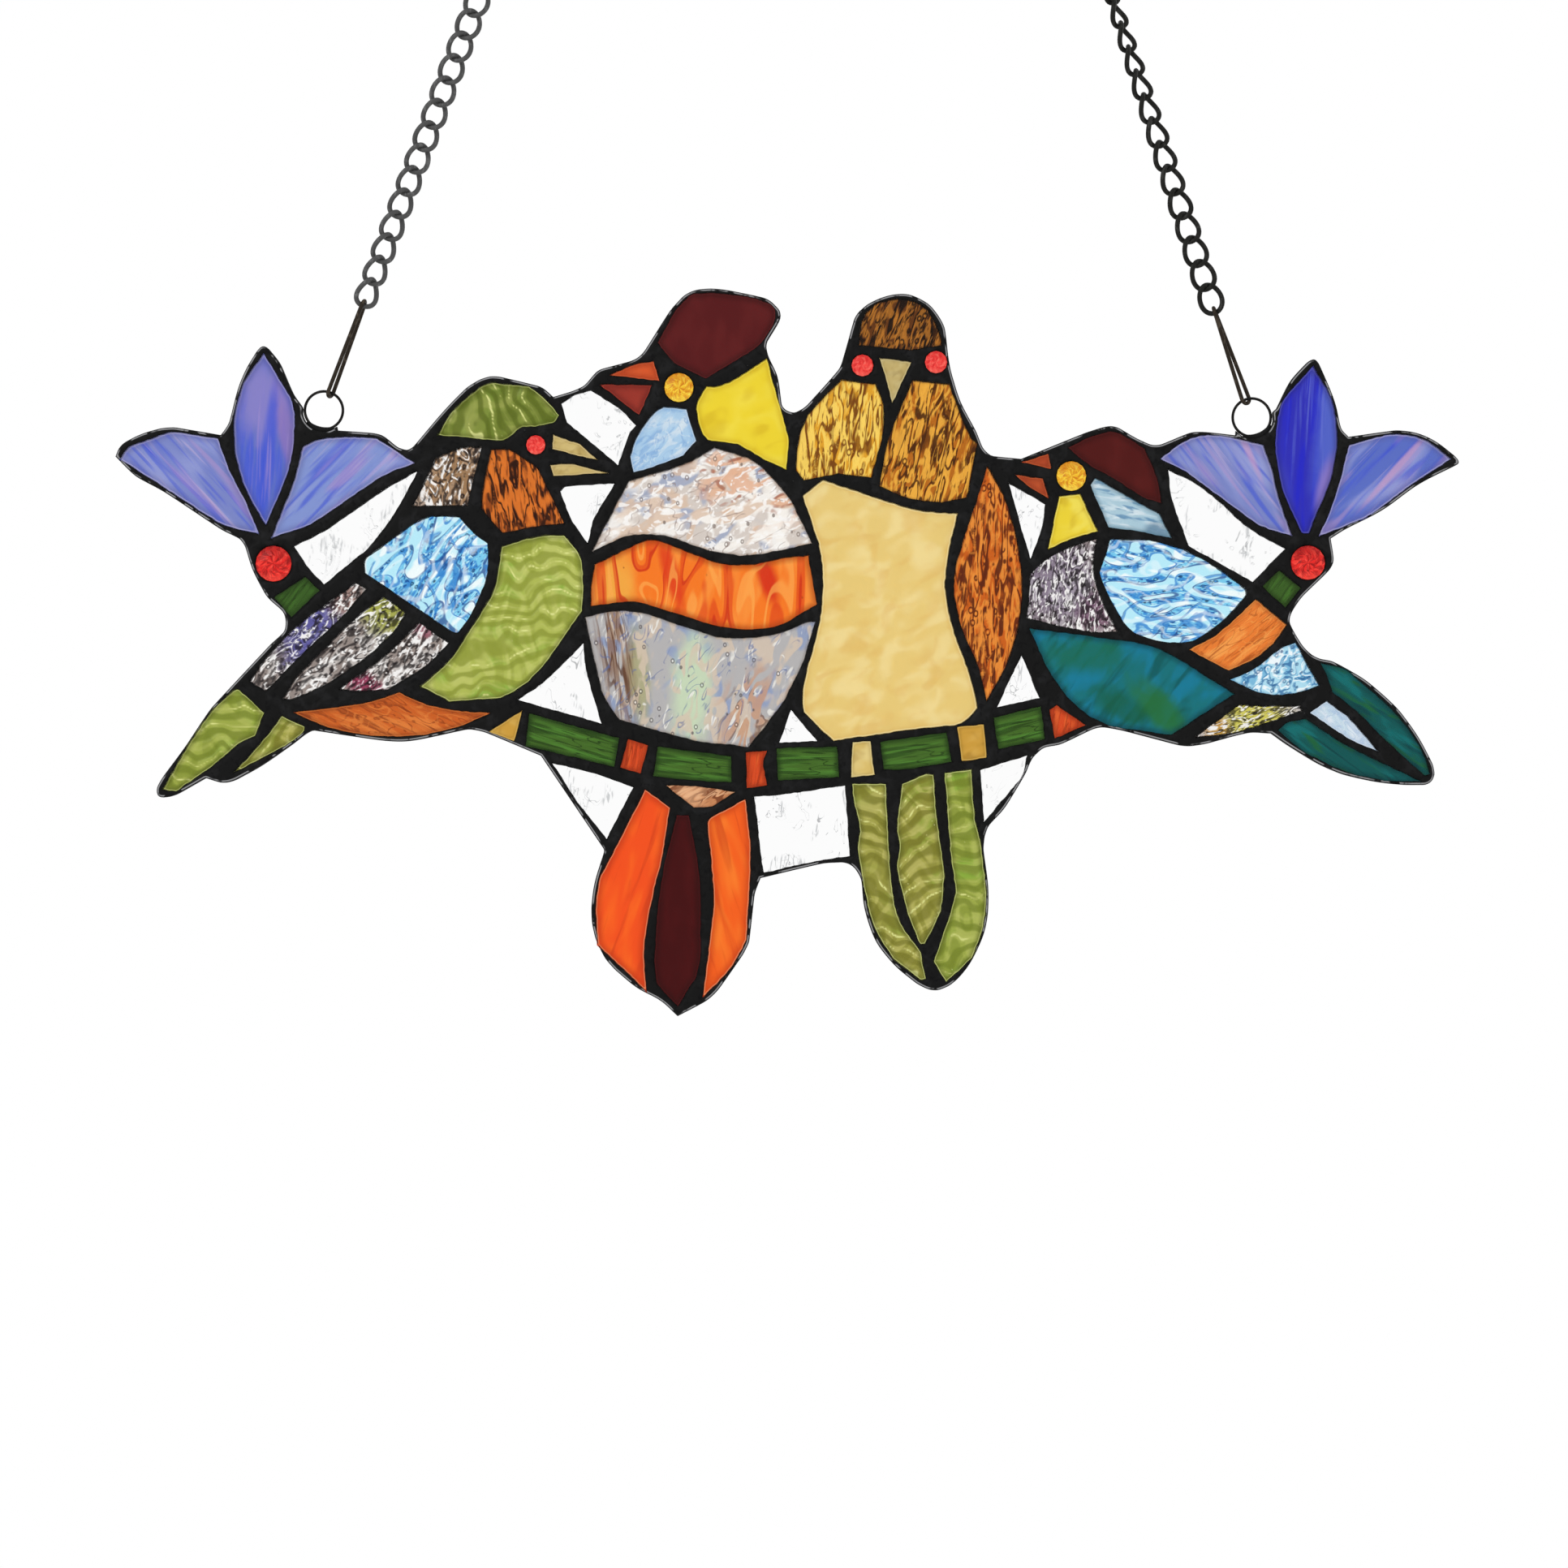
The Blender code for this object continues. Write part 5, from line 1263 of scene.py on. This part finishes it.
def build_bird_4(settings):
    crown = solid_finish("crown_maroon", linear(86, 22, 20), linear(56, 12, 12), linear(100, 30, 28))
    beak = solid_finish("beak_orange_4", linear(196, 82, 46), linear(146, 54, 26), linear(214, 104, 56))
    yellows = (linear(242, 218, 60), linear(250, 236, 110), linear(206, 170, 30))
    oranges = (linear(238, 132, 54), linear(250, 168, 84), linear(170, 80, 26))
    blues = (linear(204, 224, 236), linear(230, 238, 246), linear(174, 198, 226))
    violets = [(linear(132, 118, 150), 372, 170, 40, 40, 0.6), (linear(120, 76, 110), 386, 158, 20, 18, 0.7)]
    olives = [(linear(214, 206, 84), 448, 118, 60, 30, 0.9), (linear(200, 150, 60), 434, 112, 14, 12, 0.8)]
    tail = teal_tail_finish()
    lay_all(settings, (
        ("bird_4_crown", "plain", 0, crown),
        ("bird_4_throat", "plain", 0, cream_finish("throat_yellow", *yellows, (0, 0), 0.8)),
        ("bird_4_neck", "plain", 60, neck_finish()),
        ("bird_4_shoulder", "crinkle", 6, silver_finish("shoulder_silver", 6, violets, (80, 20), 0.85)),
        ("bird_4_wing", "veined", 96, wing_finish("wing_blue_4", 96, (200, 0))),
        ("bird_4_belly", "plain", 36, belly_finish()),
        ("bird_4_rump", "plain", 50, streaky_finish("rump_orange", *oranges, 52, 2.0, 22)),
        ("bird_4_flank", "veined", 20, flank_finish()),
        ("bird_4_vent", "crinkle", 70, silver_finish("vent_olive", 70, olives, (100, 70), 0.8)),
        ("bird_4_tail_upper", "plain", 128, tail),
        ("bird_4_tail_lower", "plain", 118, tail),
        ("bird_4_tail_middle", 483, 115, "plain", 130, streaky_finish("tail_wedge", *blues, 130, 3, 10)),
        ("bird_4_beak_upper", 364, 219, "plain", 70, beak),
        ("bird_4_beak_lower", 362, 210, "plain", 70, beak),
    ))


def build_branch(settings):
    leaf = branch_finish("leaf_green", linear(62, 98, 38), linear(72, 118, 44), linear(38, 62, 20), 35,
                         (0, 0))
    lay_all(settings, (("leaf_1", 72, 165, "plain", 35, leaf), ("leaf_2", 460, 169, "plain", 35, leaf)))
    green = (linear(72, 110, 40), linear(84, 138, 52), linear(34, 60, 18))
    places = ((2, 180, 109, 106), (4, 227, 99, 97), (6, 273, 100, 90), (8, 315, 104, 82), (10, 356, 114, 76))
    for number, x, z, turn in places:
        finish = branch_finish(f"branch_green_{number}", *green, turn, (x, z))
        lay_tile(f"branch_{number:02d}", x, z, "plain", turn, finish, settings)
    oranges = (linear(222, 80, 36), linear(236, 108, 50), linear(164, 52, 20))
    creams = (linear(226, 198, 116), linear(240, 222, 156), linear(180, 146, 70))
    ochres = (linear(212, 164, 66), linear(228, 188, 96), linear(164, 120, 40))
    orange = branch_finish("branch_orange", *oranges, 10, (0, 0))
    cream = cream_finish("branch_cream", *creams, (0, 0), 0.7)
    ochre = cream_finish("branch_ochre", *ochres, (9, 0), 0.7)
    lay_all(settings, (
        ("branch_01", 155, 114, "plain", 0, ochre),
        ("branch_03", 204, 102, "plain", 0, orange),
        ("branch_05", 252, 97, "plain", 0, orange),
        ("branch_07", 294, 101, "plain", 0, cream),
        ("branch_09", 338, 108, "plain", 0, ochre),
        ("branch_11", 374, 116, "plain", 0, orange),
    ))


# Jewels


JEWELS = {
    "jewel_1": ((62.3, 178.3), "jewel"), "jewel_2": ((469.8, 178.7), "jewel"),
    "bird_1_eye": ((165.6, 225.1), "red"), "bird_2_eye": ((222.0, 247.7), "amber"),
    "bird_3_eye_left": ((294.3, 256.4), "red"), "bird_3_eye_right": ((323.3, 257.7), "red"),
    "bird_4_eye": ((376.6, 212.8), "amber"),
}
CROWN_STEPS = ((1.03, 0.0, 0.0), (1.0, 0.34, 0.0), (0.8, 0.72, 0.5), (0.46, 0.98, 0.0))


def faceted_half(middle, radius, rise, side, count):
    """The points of a cut stone's one half, ring by ring, and its table's middle."""
    points = []
    for share, height, turn in CROWN_STEPS:
        for i in range(count):
            angle = 2 * math.pi * (i + turn) / count
            points.append((
                (middle[0] + radius * share * math.cos(angle) - HANG_X) * MM,
                side * (GIRDLE_HALF + rise * height) * MM,
                (middle[1] + radius * share * math.sin(angle) - HANG_Z) * MM,
            ))
    points.append(((middle[0] - HANG_X) * MM, side * (GIRDLE_HALF + rise) * MM, (middle[1] - HANG_Z) * MM))
    return points


def cut_stone(name, middle, radius, count):
    """A faceted stone with a crown on its front and on its back."""
    shape = bmesh.new()
    rise = CROWN_RISE * radius / CROWN_RADIUS
    rims = []
    for side in (-1, 1):
        verts = [shape.verts.new(p) for p in faceted_half(middle, radius, rise, side, count)]
        rings = [verts[k * count:(k + 1) * count] for k in range(len(CROWN_STEPS))]
        for lower, upper in zip(rings, rings[1:]):
            for i in range(count):
                j = (i + 1) % count
                shape.faces.new((lower[i], lower[j], upper[i]))
                shape.faces.new((lower[j], upper[j], upper[i]))
        for i in range(count):
            shape.faces.new((rings[-1][i], rings[-1][(i + 1) % count], verts[-1]))
        rims.append(rings[0])
    for i in range(count):
        j = (i + 1) % count
        shape.faces.new((rims[0][i], rims[0][j], rims[1][j], rims[1][i]))
    bmesh.ops.recalc_face_normals(shape, faces=shape.faces)
    made = kept_shape(name, shape)
    mesh = made.data
    # A height up the stone and a value for each facet, which the finish turns into painted shade and light.
    height = mesh.attributes.new("height", "FLOAT", "POINT")
    low = (middle[1] - radius - HANG_Z) * MM
    for i, vert in enumerate(mesh.vertices):
        height.data[i].value = (vert.co.z - low) / (2 * radius * MM)
    facet = mesh.attributes.new("facet", "FLOAT", "FACE")
    for i in range(len(mesh.polygons)):
        facet.data[i].value = i * 0.618 % 1.0
    return made


def build_jewels(settings):
    c = settings.colours
    finishes = {
        # Each finish: the stone's colour, a darker tone for painted shade and a lighter one for painted
        # light.
        "jewel": jewel_finish("jewel_red", c.jewel, linear(140, 22, 22), linear(255, 84, 70)),
        "red": jewel_finish("eye_red", c.eye_red, linear(214, 40, 40), linear(255, 120, 104)),
        "amber": jewel_finish("eye_amber", c.eye_amber, linear(206, 116, 22), linear(255, 230, 90)),
    }
    for name, (middle, kind) in JEWELS.items():
        hole = matched(Sheet.holes, *middle)
        radius = float(np.linalg.norm(hole - np.array(middle), axis=1).mean())
        place_piece(cut_stone(name, middle, radius, 16 if radius > 5 else 12), finishes[kind])


# Rings, hooks and chains


def new_tree(name, inputs):
    """A Geometry Nodes tree with named inputs, and its input and output nodes."""
    tree = bpy.data.node_groups.new(name, "GeometryNodeTree")
    tree.interface.new_socket("Geometry", in_out="INPUT", socket_type="NodeSocketGeometry")
    tree.interface.new_socket("Geometry", in_out="OUTPUT", socket_type="NodeSocketGeometry")
    for label, kind in inputs:
        tree.interface.new_socket(label, in_out="INPUT", socket_type=f"NodeSocket{kind}")
    return tree, tree.nodes.new("NodeGroupInput"), tree.nodes.new("NodeGroupOutput")


def tree_node(tree, kind, links=None, **settings):
    node = tree.nodes.new(kind)
    for name, value in settings.items():
        setattr(node, name, value)
    for socket, value in (links or {}).items():
        if isinstance(value, bpy.types.NodeSocket):
            tree.links.new(value, node.inputs[socket])
        else:
            node.inputs[socket].default_value = value
    return node


def sum_node(tree, operation, first, second=0.0):
    return tree_node(tree, "ShaderNodeMath", {0: first, 1: second}, operation=operation).outputs[0]


def close_tree(tree, geometry, finish, output):
    """Ends a tree in real geometry with its finish."""
    real = tree_node(tree, "GeometryNodeRealizeInstances", {0: geometry})
    smooth = tree_node(tree, "GeometryNodeSetShadeSmooth", {0: real.outputs[0]})
    done = tree_node(tree, "GeometryNodeSetMaterial", {0: smooth.outputs[0], "Material": finish})
    tree.links.new(done.outputs[0], output.inputs[0])


def wire_tree():
    """Sweeps a round wire along the edges of a path."""
    inputs = [("Wire Radius", "Float"), ("Sides", "Int"), ("Finish", "Material")]
    tree, given, output = new_tree("wire_on_path", inputs)
    path = tree_node(tree, "GeometryNodeMeshToCurve", {0: given.outputs["Geometry"]})
    around = tree_node(tree, "GeometryNodeCurvePrimitiveCircle", {
        "Resolution": given.outputs["Sides"], "Radius": given.outputs["Wire Radius"],
    })
    ends = {0: path.outputs[0], 1: around.outputs[0], "Fill Caps": True}
    swept = tree_node(tree, "GeometryNodeCurveToMesh", ends)
    close_tree(tree, swept.outputs[0], given.outputs["Finish"], output)
    return tree


def chain_tree():
    """A run of twisted oval links, each turned a little further than the one before."""
    tree, given, output = new_tree("link_chain", [
        ("Links", "Int"), ("Pitch", "Float"), ("First Turn", "Float"), ("Last Turn", "Float"),
        ("Lean", "Float"), ("Start", "Vector"), ("Half Width", "Float"), ("Half Length", "Float"),
        ("Twist", "Float"),
        ("Wire Radius", "Float"), ("Sides", "Int"), ("Finish", "Material"),
    ])
    oval = tree_node(tree, "GeometryNodeCurvePrimitiveCircle", {"Resolution": LINK_POINTS, "Radius": 1.0})
    index = tree_node(tree, "GeometryNodeInputIndex").outputs[0]
    angle = sum_node(tree, "MULTIPLY", index, 2 * math.pi / LINK_POINTS)
    x = sum_node(tree, "MULTIPLY", sum_node(tree, "COSINE", angle), given.outputs["Half Width"])
    z = sum_node(tree, "MULTIPLY", sum_node(tree, "SINE", angle), given.outputs["Half Length"])
    double = sum_node(tree, "SINE", sum_node(tree, "MULTIPLY", angle, 2.0))
    y = sum_node(tree, "MULTIPLY", double, given.outputs["Twist"])
    spot = tree_node(tree, "ShaderNodeCombineXYZ", {0: x, 1: y, 2: z})
    bent = tree_node(tree, "GeometryNodeSetPosition", {0: oval.outputs[0], "Position": spot.outputs[0]})
    around = tree_node(tree, "GeometryNodeCurvePrimitiveCircle", {
        "Resolution": given.outputs["Sides"], "Radius": given.outputs["Wire Radius"],
    })
    link = tree_node(tree, "GeometryNodeCurveToMesh", {0: bent.outputs[0], 1: around.outputs[0]})
    rise = tree_node(tree, "ShaderNodeCombineXYZ", {2: given.outputs["Pitch"]})
    line = tree_node(tree, "GeometryNodeMeshLine", {
        "Count": given.outputs["Links"], "Offset": rise.outputs[0],
    })
    share = sum_node(tree, "DIVIDE", index, sum_node(tree, "SUBTRACT", given.outputs["Links"], 1.0))
    spread = sum_node(tree, "SUBTRACT", given.outputs["Last Turn"], given.outputs["First Turn"])
    turn = sum_node(tree, "ADD", given.outputs["First Turn"], sum_node(tree, "MULTIPLY", spread, share))
    facing = tree_node(tree, "ShaderNodeCombineXYZ", {2: turn})
    links = tree_node(tree, "GeometryNodeInstanceOnPoints", {
        "Points": line.outputs[0], "Instance": link.outputs[0], "Rotation": facing.outputs[0],
    })
    lean = tree_node(tree, "ShaderNodeCombineXYZ", {1: given.outputs["Lean"]})
    stood = tree_node(tree, "GeometryNodeTransform", {
        0: links.outputs[0], "Translation": given.outputs["Start"], "Rotation": lean.outputs[0],
    })
    close_tree(tree, stood.outputs[0], given.outputs["Finish"], output)
    return tree


def grow_mesh(name, tree, values, points=(), closed=True):
    """Runs a tree on a path of points and keeps what it makes as a plain mesh."""
    count = len(points)
    edges = [(i, i + 1) for i in range(count - 1)]
    if closed and count:
        edges.append((count - 1, 0))
    mesh = bpy.data.meshes.new(name)
    mesh.from_pydata([tuple(p) for p in points], edges, [])
    made = bpy.data.objects.new(name, mesh)
    bpy.context.scene.collection.objects.link(made)
    modifier = made.modifiers.new("grow", "NODES")
    modifier.node_group = tree
    for item in tree.interface.items_tree:
        if item.in_out == "INPUT" and item.name in values:
            modifier[item.identifier] = values[item.name]
    bpy.context.view_layer.update()
    graph = bpy.context.evaluated_depsgraph_get()
    grown_mesh = bpy.data.meshes.new_from_object(made.evaluated_get(graph))
    made.modifiers.clear()
    made.data = grown_mesh
    return made


def on_sheet(x, z, y=0.0):
    return Vector(((x - HANG_X) * MM, y * MM, (z - HANG_Z) * MM))


def half_length(step, wire):
    return math.hypot(*step) / 2 + wire - 0.18


def build_chains(settings):
    sizes = settings.wires
    tree = chain_tree()
    wire = sizes.link_wire / MM
    grey = wire_finish("chain_grey", linear(78, 78, 78), linear(116, 116, 116))
    dark = wire_finish("chain_dark", linear(34, 34, 32), linear(66, 66, 64))
    for name, chain, finish in (("left", CHAIN_LEFT, grey), ("right", CHAIN_RIGHT, dark)):
        start, step, count, turns = chain
        values = {
            "Links": count, "Pitch": math.hypot(*step) * MM, "First Turn": math.radians(turns[0]),
            "Last Turn": math.radians(turns[1]), "Lean": math.atan2(step[0], step[1]),
            "Start": tuple(on_sheet(*start)), "Half Width": sizes.link_half_width,
            "Half Length": half_length(step, wire) * MM, "Twist": sizes.link_twist,
            "Wire Radius": sizes.link_wire, "Sides": sizes.sides, "Finish": finish,
        }
        piece = grow_mesh(f"links_{name}", tree, values)
        place_piece(piece, finish, (f"chain_{name}",))


def ring_path(middle, radius):
    count = 64
    return [
        on_sheet(middle[0] + radius * math.cos(2 * math.pi * i / count),
                 middle[1] + radius * math.sin(2 * math.pi * i / count))
        for i in range(count)
    ]


def hook_path(ring, start, step, turns, sizes):
    """A long closed eye of wire from the ring to the lowest link, twisted on its way up."""
    along = Vector((step[0], step[1])).normalized()
    wire = sizes.hook_wire / MM
    lift = (sizes.ring_radius - sizes.ring_wire) / MM - wire - 0.25
    low = Vector(ring) + along * lift
    drop = half_length(step, sizes.link_wire / MM) - sizes.link_wire / MM - wire - 0.25
    run = Vector(start) - along * drop - low
    size = run.length
    bend = sizes.hook_half_width / MM
    outline = []
    for side, middle in ((1, size - bend), (-1, bend)):
        for i in range(HOOK_BEND_STEPS + 1):
            angle = math.pi * i / HOOK_BEND_STEPS
            outline.append((side * math.cos(angle), middle + side * bend * math.sin(angle)))
        for i in range(1, HOOK_SIDE_STEPS):
            outline.append((-side, middle - side * (size - 2 * bend) * i / HOOK_SIDE_STEPS))
    up = Vector((run.x, 0, run.y)).normalized()
    flat = Vector((0, 1, 0)).cross(up).normalized()
    out = up.cross(flat)
    points = []
    for side, height in outline:
        turn = math.radians(turns[0] + (turns[1] - turns[0]) * height / size)
        across = flat * math.cos(turn) + out * math.sin(turn)
        points.append(on_sheet(low.x, low.y) + up * height * MM + across * side * bend * MM)
    return points


def solder_seat(name, middle, radius, first, last):
    """A tapered bead of solder along the part of a ring that sits on the leading."""
    shape = bmesh.new()
    steps, sides = 28, 12
    rows = []
    for i in range(steps + 1):
        share = i / steps
        angle = math.radians(first + (last - first) * share)
        out = Vector((math.cos(angle), 0, math.sin(angle)))
        thick = 0.4 + 0.9 * math.sin(math.pi * share) ** 0.7
        reach = radius + 0.3
        centre = on_sheet(middle[0] + reach * math.cos(angle), middle[1] + reach * math.sin(angle))
        row = []
        for k in range(sides):
            turn = 2 * math.pi * k / sides
            off = out * math.cos(turn) + Vector((0, math.sin(turn), 0))
            row.append(shape.verts.new(centre + off * thick * MM))
        rows.append(row)
    for lower, upper in zip(rows, rows[1:]):
        for k in range(sides):
            j = (k + 1) % sides
            shape.faces.new((lower[k], lower[j], upper[j], upper[k]))
    shape.faces.new(rows[0])
    shape.faces.new(rows[-1])
    bmesh.ops.recalc_face_normals(shape, faces=shape.faces)
    return kept_shape(name, shape, True)


def build_seats(settings):
    finish = solder_finish(settings.colours)
    radius = settings.wires.ring_radius / MM
    place_piece(solder_seat("seat_left", RING_LEFT, radius, 214, 300), finish)
    place_piece(solder_seat("seat_right", RING_RIGHT, radius, 244, 338), finish)


def build_rings(settings):
    sizes = settings.wires
    tree = wire_tree()
    finish = wire_finish("ring_black", linear(24, 23, 22), linear(48, 46, 44), 0.0)
    for name, middle in (("left", RING_LEFT), ("right", RING_RIGHT)):
        values = {"Wire Radius": sizes.ring_wire, "Sides": sizes.sides, "Finish": finish}
        piece = grow_mesh(f"wire_ring_{name}", tree, values, ring_path(middle, sizes.ring_radius / MM))
        place_piece(piece, finish, (f"ring_{name}",))


def build_hooks(settings):
    sizes = settings.wires
    tree = wire_tree()
    finish = wire_finish("hook_brown", linear(44, 38, 32), linear(92, 82, 70), 0.2)
    paths = {
        "left": hook_path(RING_LEFT, CHAIN_LEFT[0], CHAIN_LEFT[1], (70, 85), sizes),
        "right": hook_path(RING_RIGHT, CHAIN_RIGHT[0], CHAIN_RIGHT[1], (40, 80), sizes),
    }
    for name, path in paths.items():
        values = {"Wire Radius": sizes.hook_wire, "Sides": sizes.sides, "Finish": finish}
        piece = grow_mesh(f"wire_hook_{name}", tree, values, path)
        place_piece(piece, finish, (f"hook_{name}",))


# Stage


def build_world():
    world = bpy.data.worlds.new("studio")
    bpy.context.scene.world = world
    world.use_nodes = True
    back = world.node_tree.nodes["Background"]
    back.inputs["Color"].default_value = (1.0, 1.0, 1.0, 1.0)
    back.inputs["Strength"].default_value = 1.0


def add_lamp(name, place, aim, size, watts):
    lamp = bpy.data.lights.new(name, "AREA")
    lamp.size = size
    lamp.energy = watts
    made = bpy.data.objects.new(name, lamp)
    bpy.context.scene.collection.objects.link(made)
    made.location = place
    made.rotation_euler = (Vector(aim) - Vector(place)).to_track_quat("-Z", "Y").to_euler()


def build_floor(sizes):
    shape = bmesh.new()
    bmesh.ops.create_circle(shape, cap_ends=True, segments=96, radius=sizes.floor_radius)
    for vert in shape.verts:
        vert.co.z = sizes.floor_z
    floor = kept_shape("floor", shape)
    look = Finish("pale_floor", linear(244, 244, 242), 0.7)
    look.coat(linear(238, 238, 236), 0.5, look.streaks(60, 60, 0, (0, 0), 0.4, 0.7))
    floor.data.materials.append(look.material)


def build_camera(sizes):
    camera = bpy.data.cameras.new("camera")
    camera.lens = 85.0
    camera.sensor_width = 36.0
    camera.clip_end = 50.0
    made = bpy.data.objects.new("camera", camera)
    bpy.context.scene.collection.objects.link(made)
    made.location = (sizes.camera_x, -sizes.camera_distance, sizes.camera_z)
    made.rotation_euler = (math.pi / 2, 0, 0)
    bpy.context.scene.camera = made


def build_stage(settings):
    build_world()
    add_lamp("key", (-0.9, -1.3, 0.5), (0, 0, -0.3), 0.9, 6.0)
    build_floor(settings.stage)
    build_camera(settings.stage)
    view = bpy.context.scene.view_settings
    view.view_transform = "Standard"
    view.look = "None"


# Operators, panel and running


class SUNCATCHER_settings(bpy.types.PropertyGroup):
    leading: PointerProperty(name="Leading", description="Solder sizes", type=SUNCATCHER_leading_sizes)
    glass: PointerProperty(name="Glass", description="Sizes of the sheets", type=SUNCATCHER_glass_sizes)
    wires: PointerProperty(name="Wires", description="Wire sizes", type=SUNCATCHER_wire_sizes)
    colours: PointerProperty(name="Colours", description="Glass colours", type=SUNCATCHER_glass_colours)
    stage: PointerProperty(name="Stage", description="Camera and floor", type=SUNCATCHER_stage_sizes)


class SUNCATCHER_OT_leading(bpy.types.Operator):
    """Lay the soldered leading"""

    bl_idname = "suncatcher.leading"
    bl_label = "Leading"

    def execute(self, context):
        read_sheet()
        build_solder(context.scene.suncatcher)
        return {"FINISHED"}


class SUNCATCHER_OT_flowers(bpy.types.Operator):
    """Lay the petals of both flowers"""

    bl_idname = "suncatcher.flowers"
    bl_label = "Flowers"

    def execute(self, context):
        read_sheet()
        build_petals(context.scene.suncatcher)
        return {"FINISHED"}


class SUNCATCHER_OT_background(bpy.types.Operator):
    """Lay the colourless glass between the birds"""

    bl_idname = "suncatcher.background"
    bl_label = "Clear background"

    def execute(self, context):
        read_sheet()
        build_clear(context.scene.suncatcher)
        return {"FINISHED"}


class SUNCATCHER_OT_green_bird(bpy.types.Operator):
    """Lay the glass of the green bird on the left"""

    bl_idname = "suncatcher.green_bird"
    bl_label = "Green bird"

    def execute(self, context):
        read_sheet()
        build_bird_1(context.scene.suncatcher)
        return {"FINISHED"}


class SUNCATCHER_OT_crested_bird(bpy.types.Operator):
    """Lay the glass of the crested bird"""

    bl_idname = "suncatcher.crested_bird"
    bl_label = "Crested bird"

    def execute(self, context):
        read_sheet()
        build_bird_2(context.scene.suncatcher)
        return {"FINISHED"}


class SUNCATCHER_OT_cream_bird(bpy.types.Operator):
    """Lay the glass of the bird with the cream breast"""

    bl_idname = "suncatcher.cream_bird"
    bl_label = "Cream bird"

    def execute(self, context):
        read_sheet()
        build_bird_3(context.scene.suncatcher)
        return {"FINISHED"}


class SUNCATCHER_OT_teal_bird(bpy.types.Operator):
    """Lay the glass of the teal bird on the right"""

    bl_idname = "suncatcher.teal_bird"
    bl_label = "Teal bird"

    def execute(self, context):
        read_sheet()
        build_bird_4(context.scene.suncatcher)
        return {"FINISHED"}


class SUNCATCHER_OT_branch(bpy.types.Operator):
    """Lay the branch's tiles and the leaves"""

    bl_idname = "suncatcher.branch"
    bl_label = "Branch"

    def execute(self, context):
        read_sheet()
        build_branch(context.scene.suncatcher)
        return {"FINISHED"}


class SUNCATCHER_OT_jewels(bpy.types.Operator):
    """Set the jewels and the eyes"""

    bl_idname = "suncatcher.jewels"
    bl_label = "Jewels"

    def execute(self, context):
        read_sheet()
        build_jewels(context.scene.suncatcher)
        return {"FINISHED"}


class SUNCATCHER_OT_hangers(bpy.types.Operator):
    """Bend the rings and hooks and hang the chains"""

    bl_idname = "suncatcher.hangers"
    bl_label = "Rings, hooks and chains"

    def execute(self, context):
        build_seats(context.scene.suncatcher)
        build_rings(context.scene.suncatcher)
        build_hooks(context.scene.suncatcher)
        build_chains(context.scene.suncatcher)
        return {"FINISHED"}


class SUNCATCHER_OT_stage(bpy.types.Operator):
    """Set the floor, the light and the camera"""

    bl_idname = "suncatcher.stage"
    bl_label = "Stage"

    def execute(self, context):
        build_stage(context.scene.suncatcher)
        return {"FINISHED"}


STEPS = (
    SUNCATCHER_OT_leading, SUNCATCHER_OT_flowers, SUNCATCHER_OT_background, SUNCATCHER_OT_green_bird,
    SUNCATCHER_OT_crested_bird, SUNCATCHER_OT_cream_bird, SUNCATCHER_OT_teal_bird, SUNCATCHER_OT_branch,
    SUNCATCHER_OT_jewels, SUNCATCHER_OT_hangers, SUNCATCHER_OT_stage,
)


class SUNCATCHER_PT_panel(bpy.types.Panel):
    bl_idname = "SUNCATCHER_PT_panel"
    bl_label = "Stained glass suncatcher"
    bl_space_type = "VIEW_3D"
    bl_region_type = "UI"
    bl_category = "Suncatcher"

    def draw(self, context):
        column = self.layout.column()
        for step in STEPS:
            column.operator(step.bl_idname)
        for group in ("leading", "glass", "wires", "colours", "stage"):
            settings = getattr(context.scene.suncatcher, group)
            box = self.layout.box()
            box.label(text=group.capitalize())
            for name in settings.__annotations__:
                box.prop(settings, name)


CLASSES = (
    SUNCATCHER_leading_sizes, SUNCATCHER_glass_sizes, SUNCATCHER_wire_sizes, SUNCATCHER_glass_colours,
    SUNCATCHER_stage_sizes, SUNCATCHER_settings, *STEPS, SUNCATCHER_PT_panel,
)


def register():
    for made in CLASSES:
        bpy.utils.register_class(made)
    bpy.types.Scene.suncatcher = PointerProperty(type=SUNCATCHER_settings)


def unregister():
    del bpy.types.Scene.suncatcher
    for made in reversed(CLASSES):
        bpy.utils.unregister_class(made)


def main():
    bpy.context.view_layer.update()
    register()
    for step in STEPS:
        group, name = step.bl_idname.split(".")
        getattr(getattr(bpy.ops, group), name)()


if __name__ == "__main__":
    main()
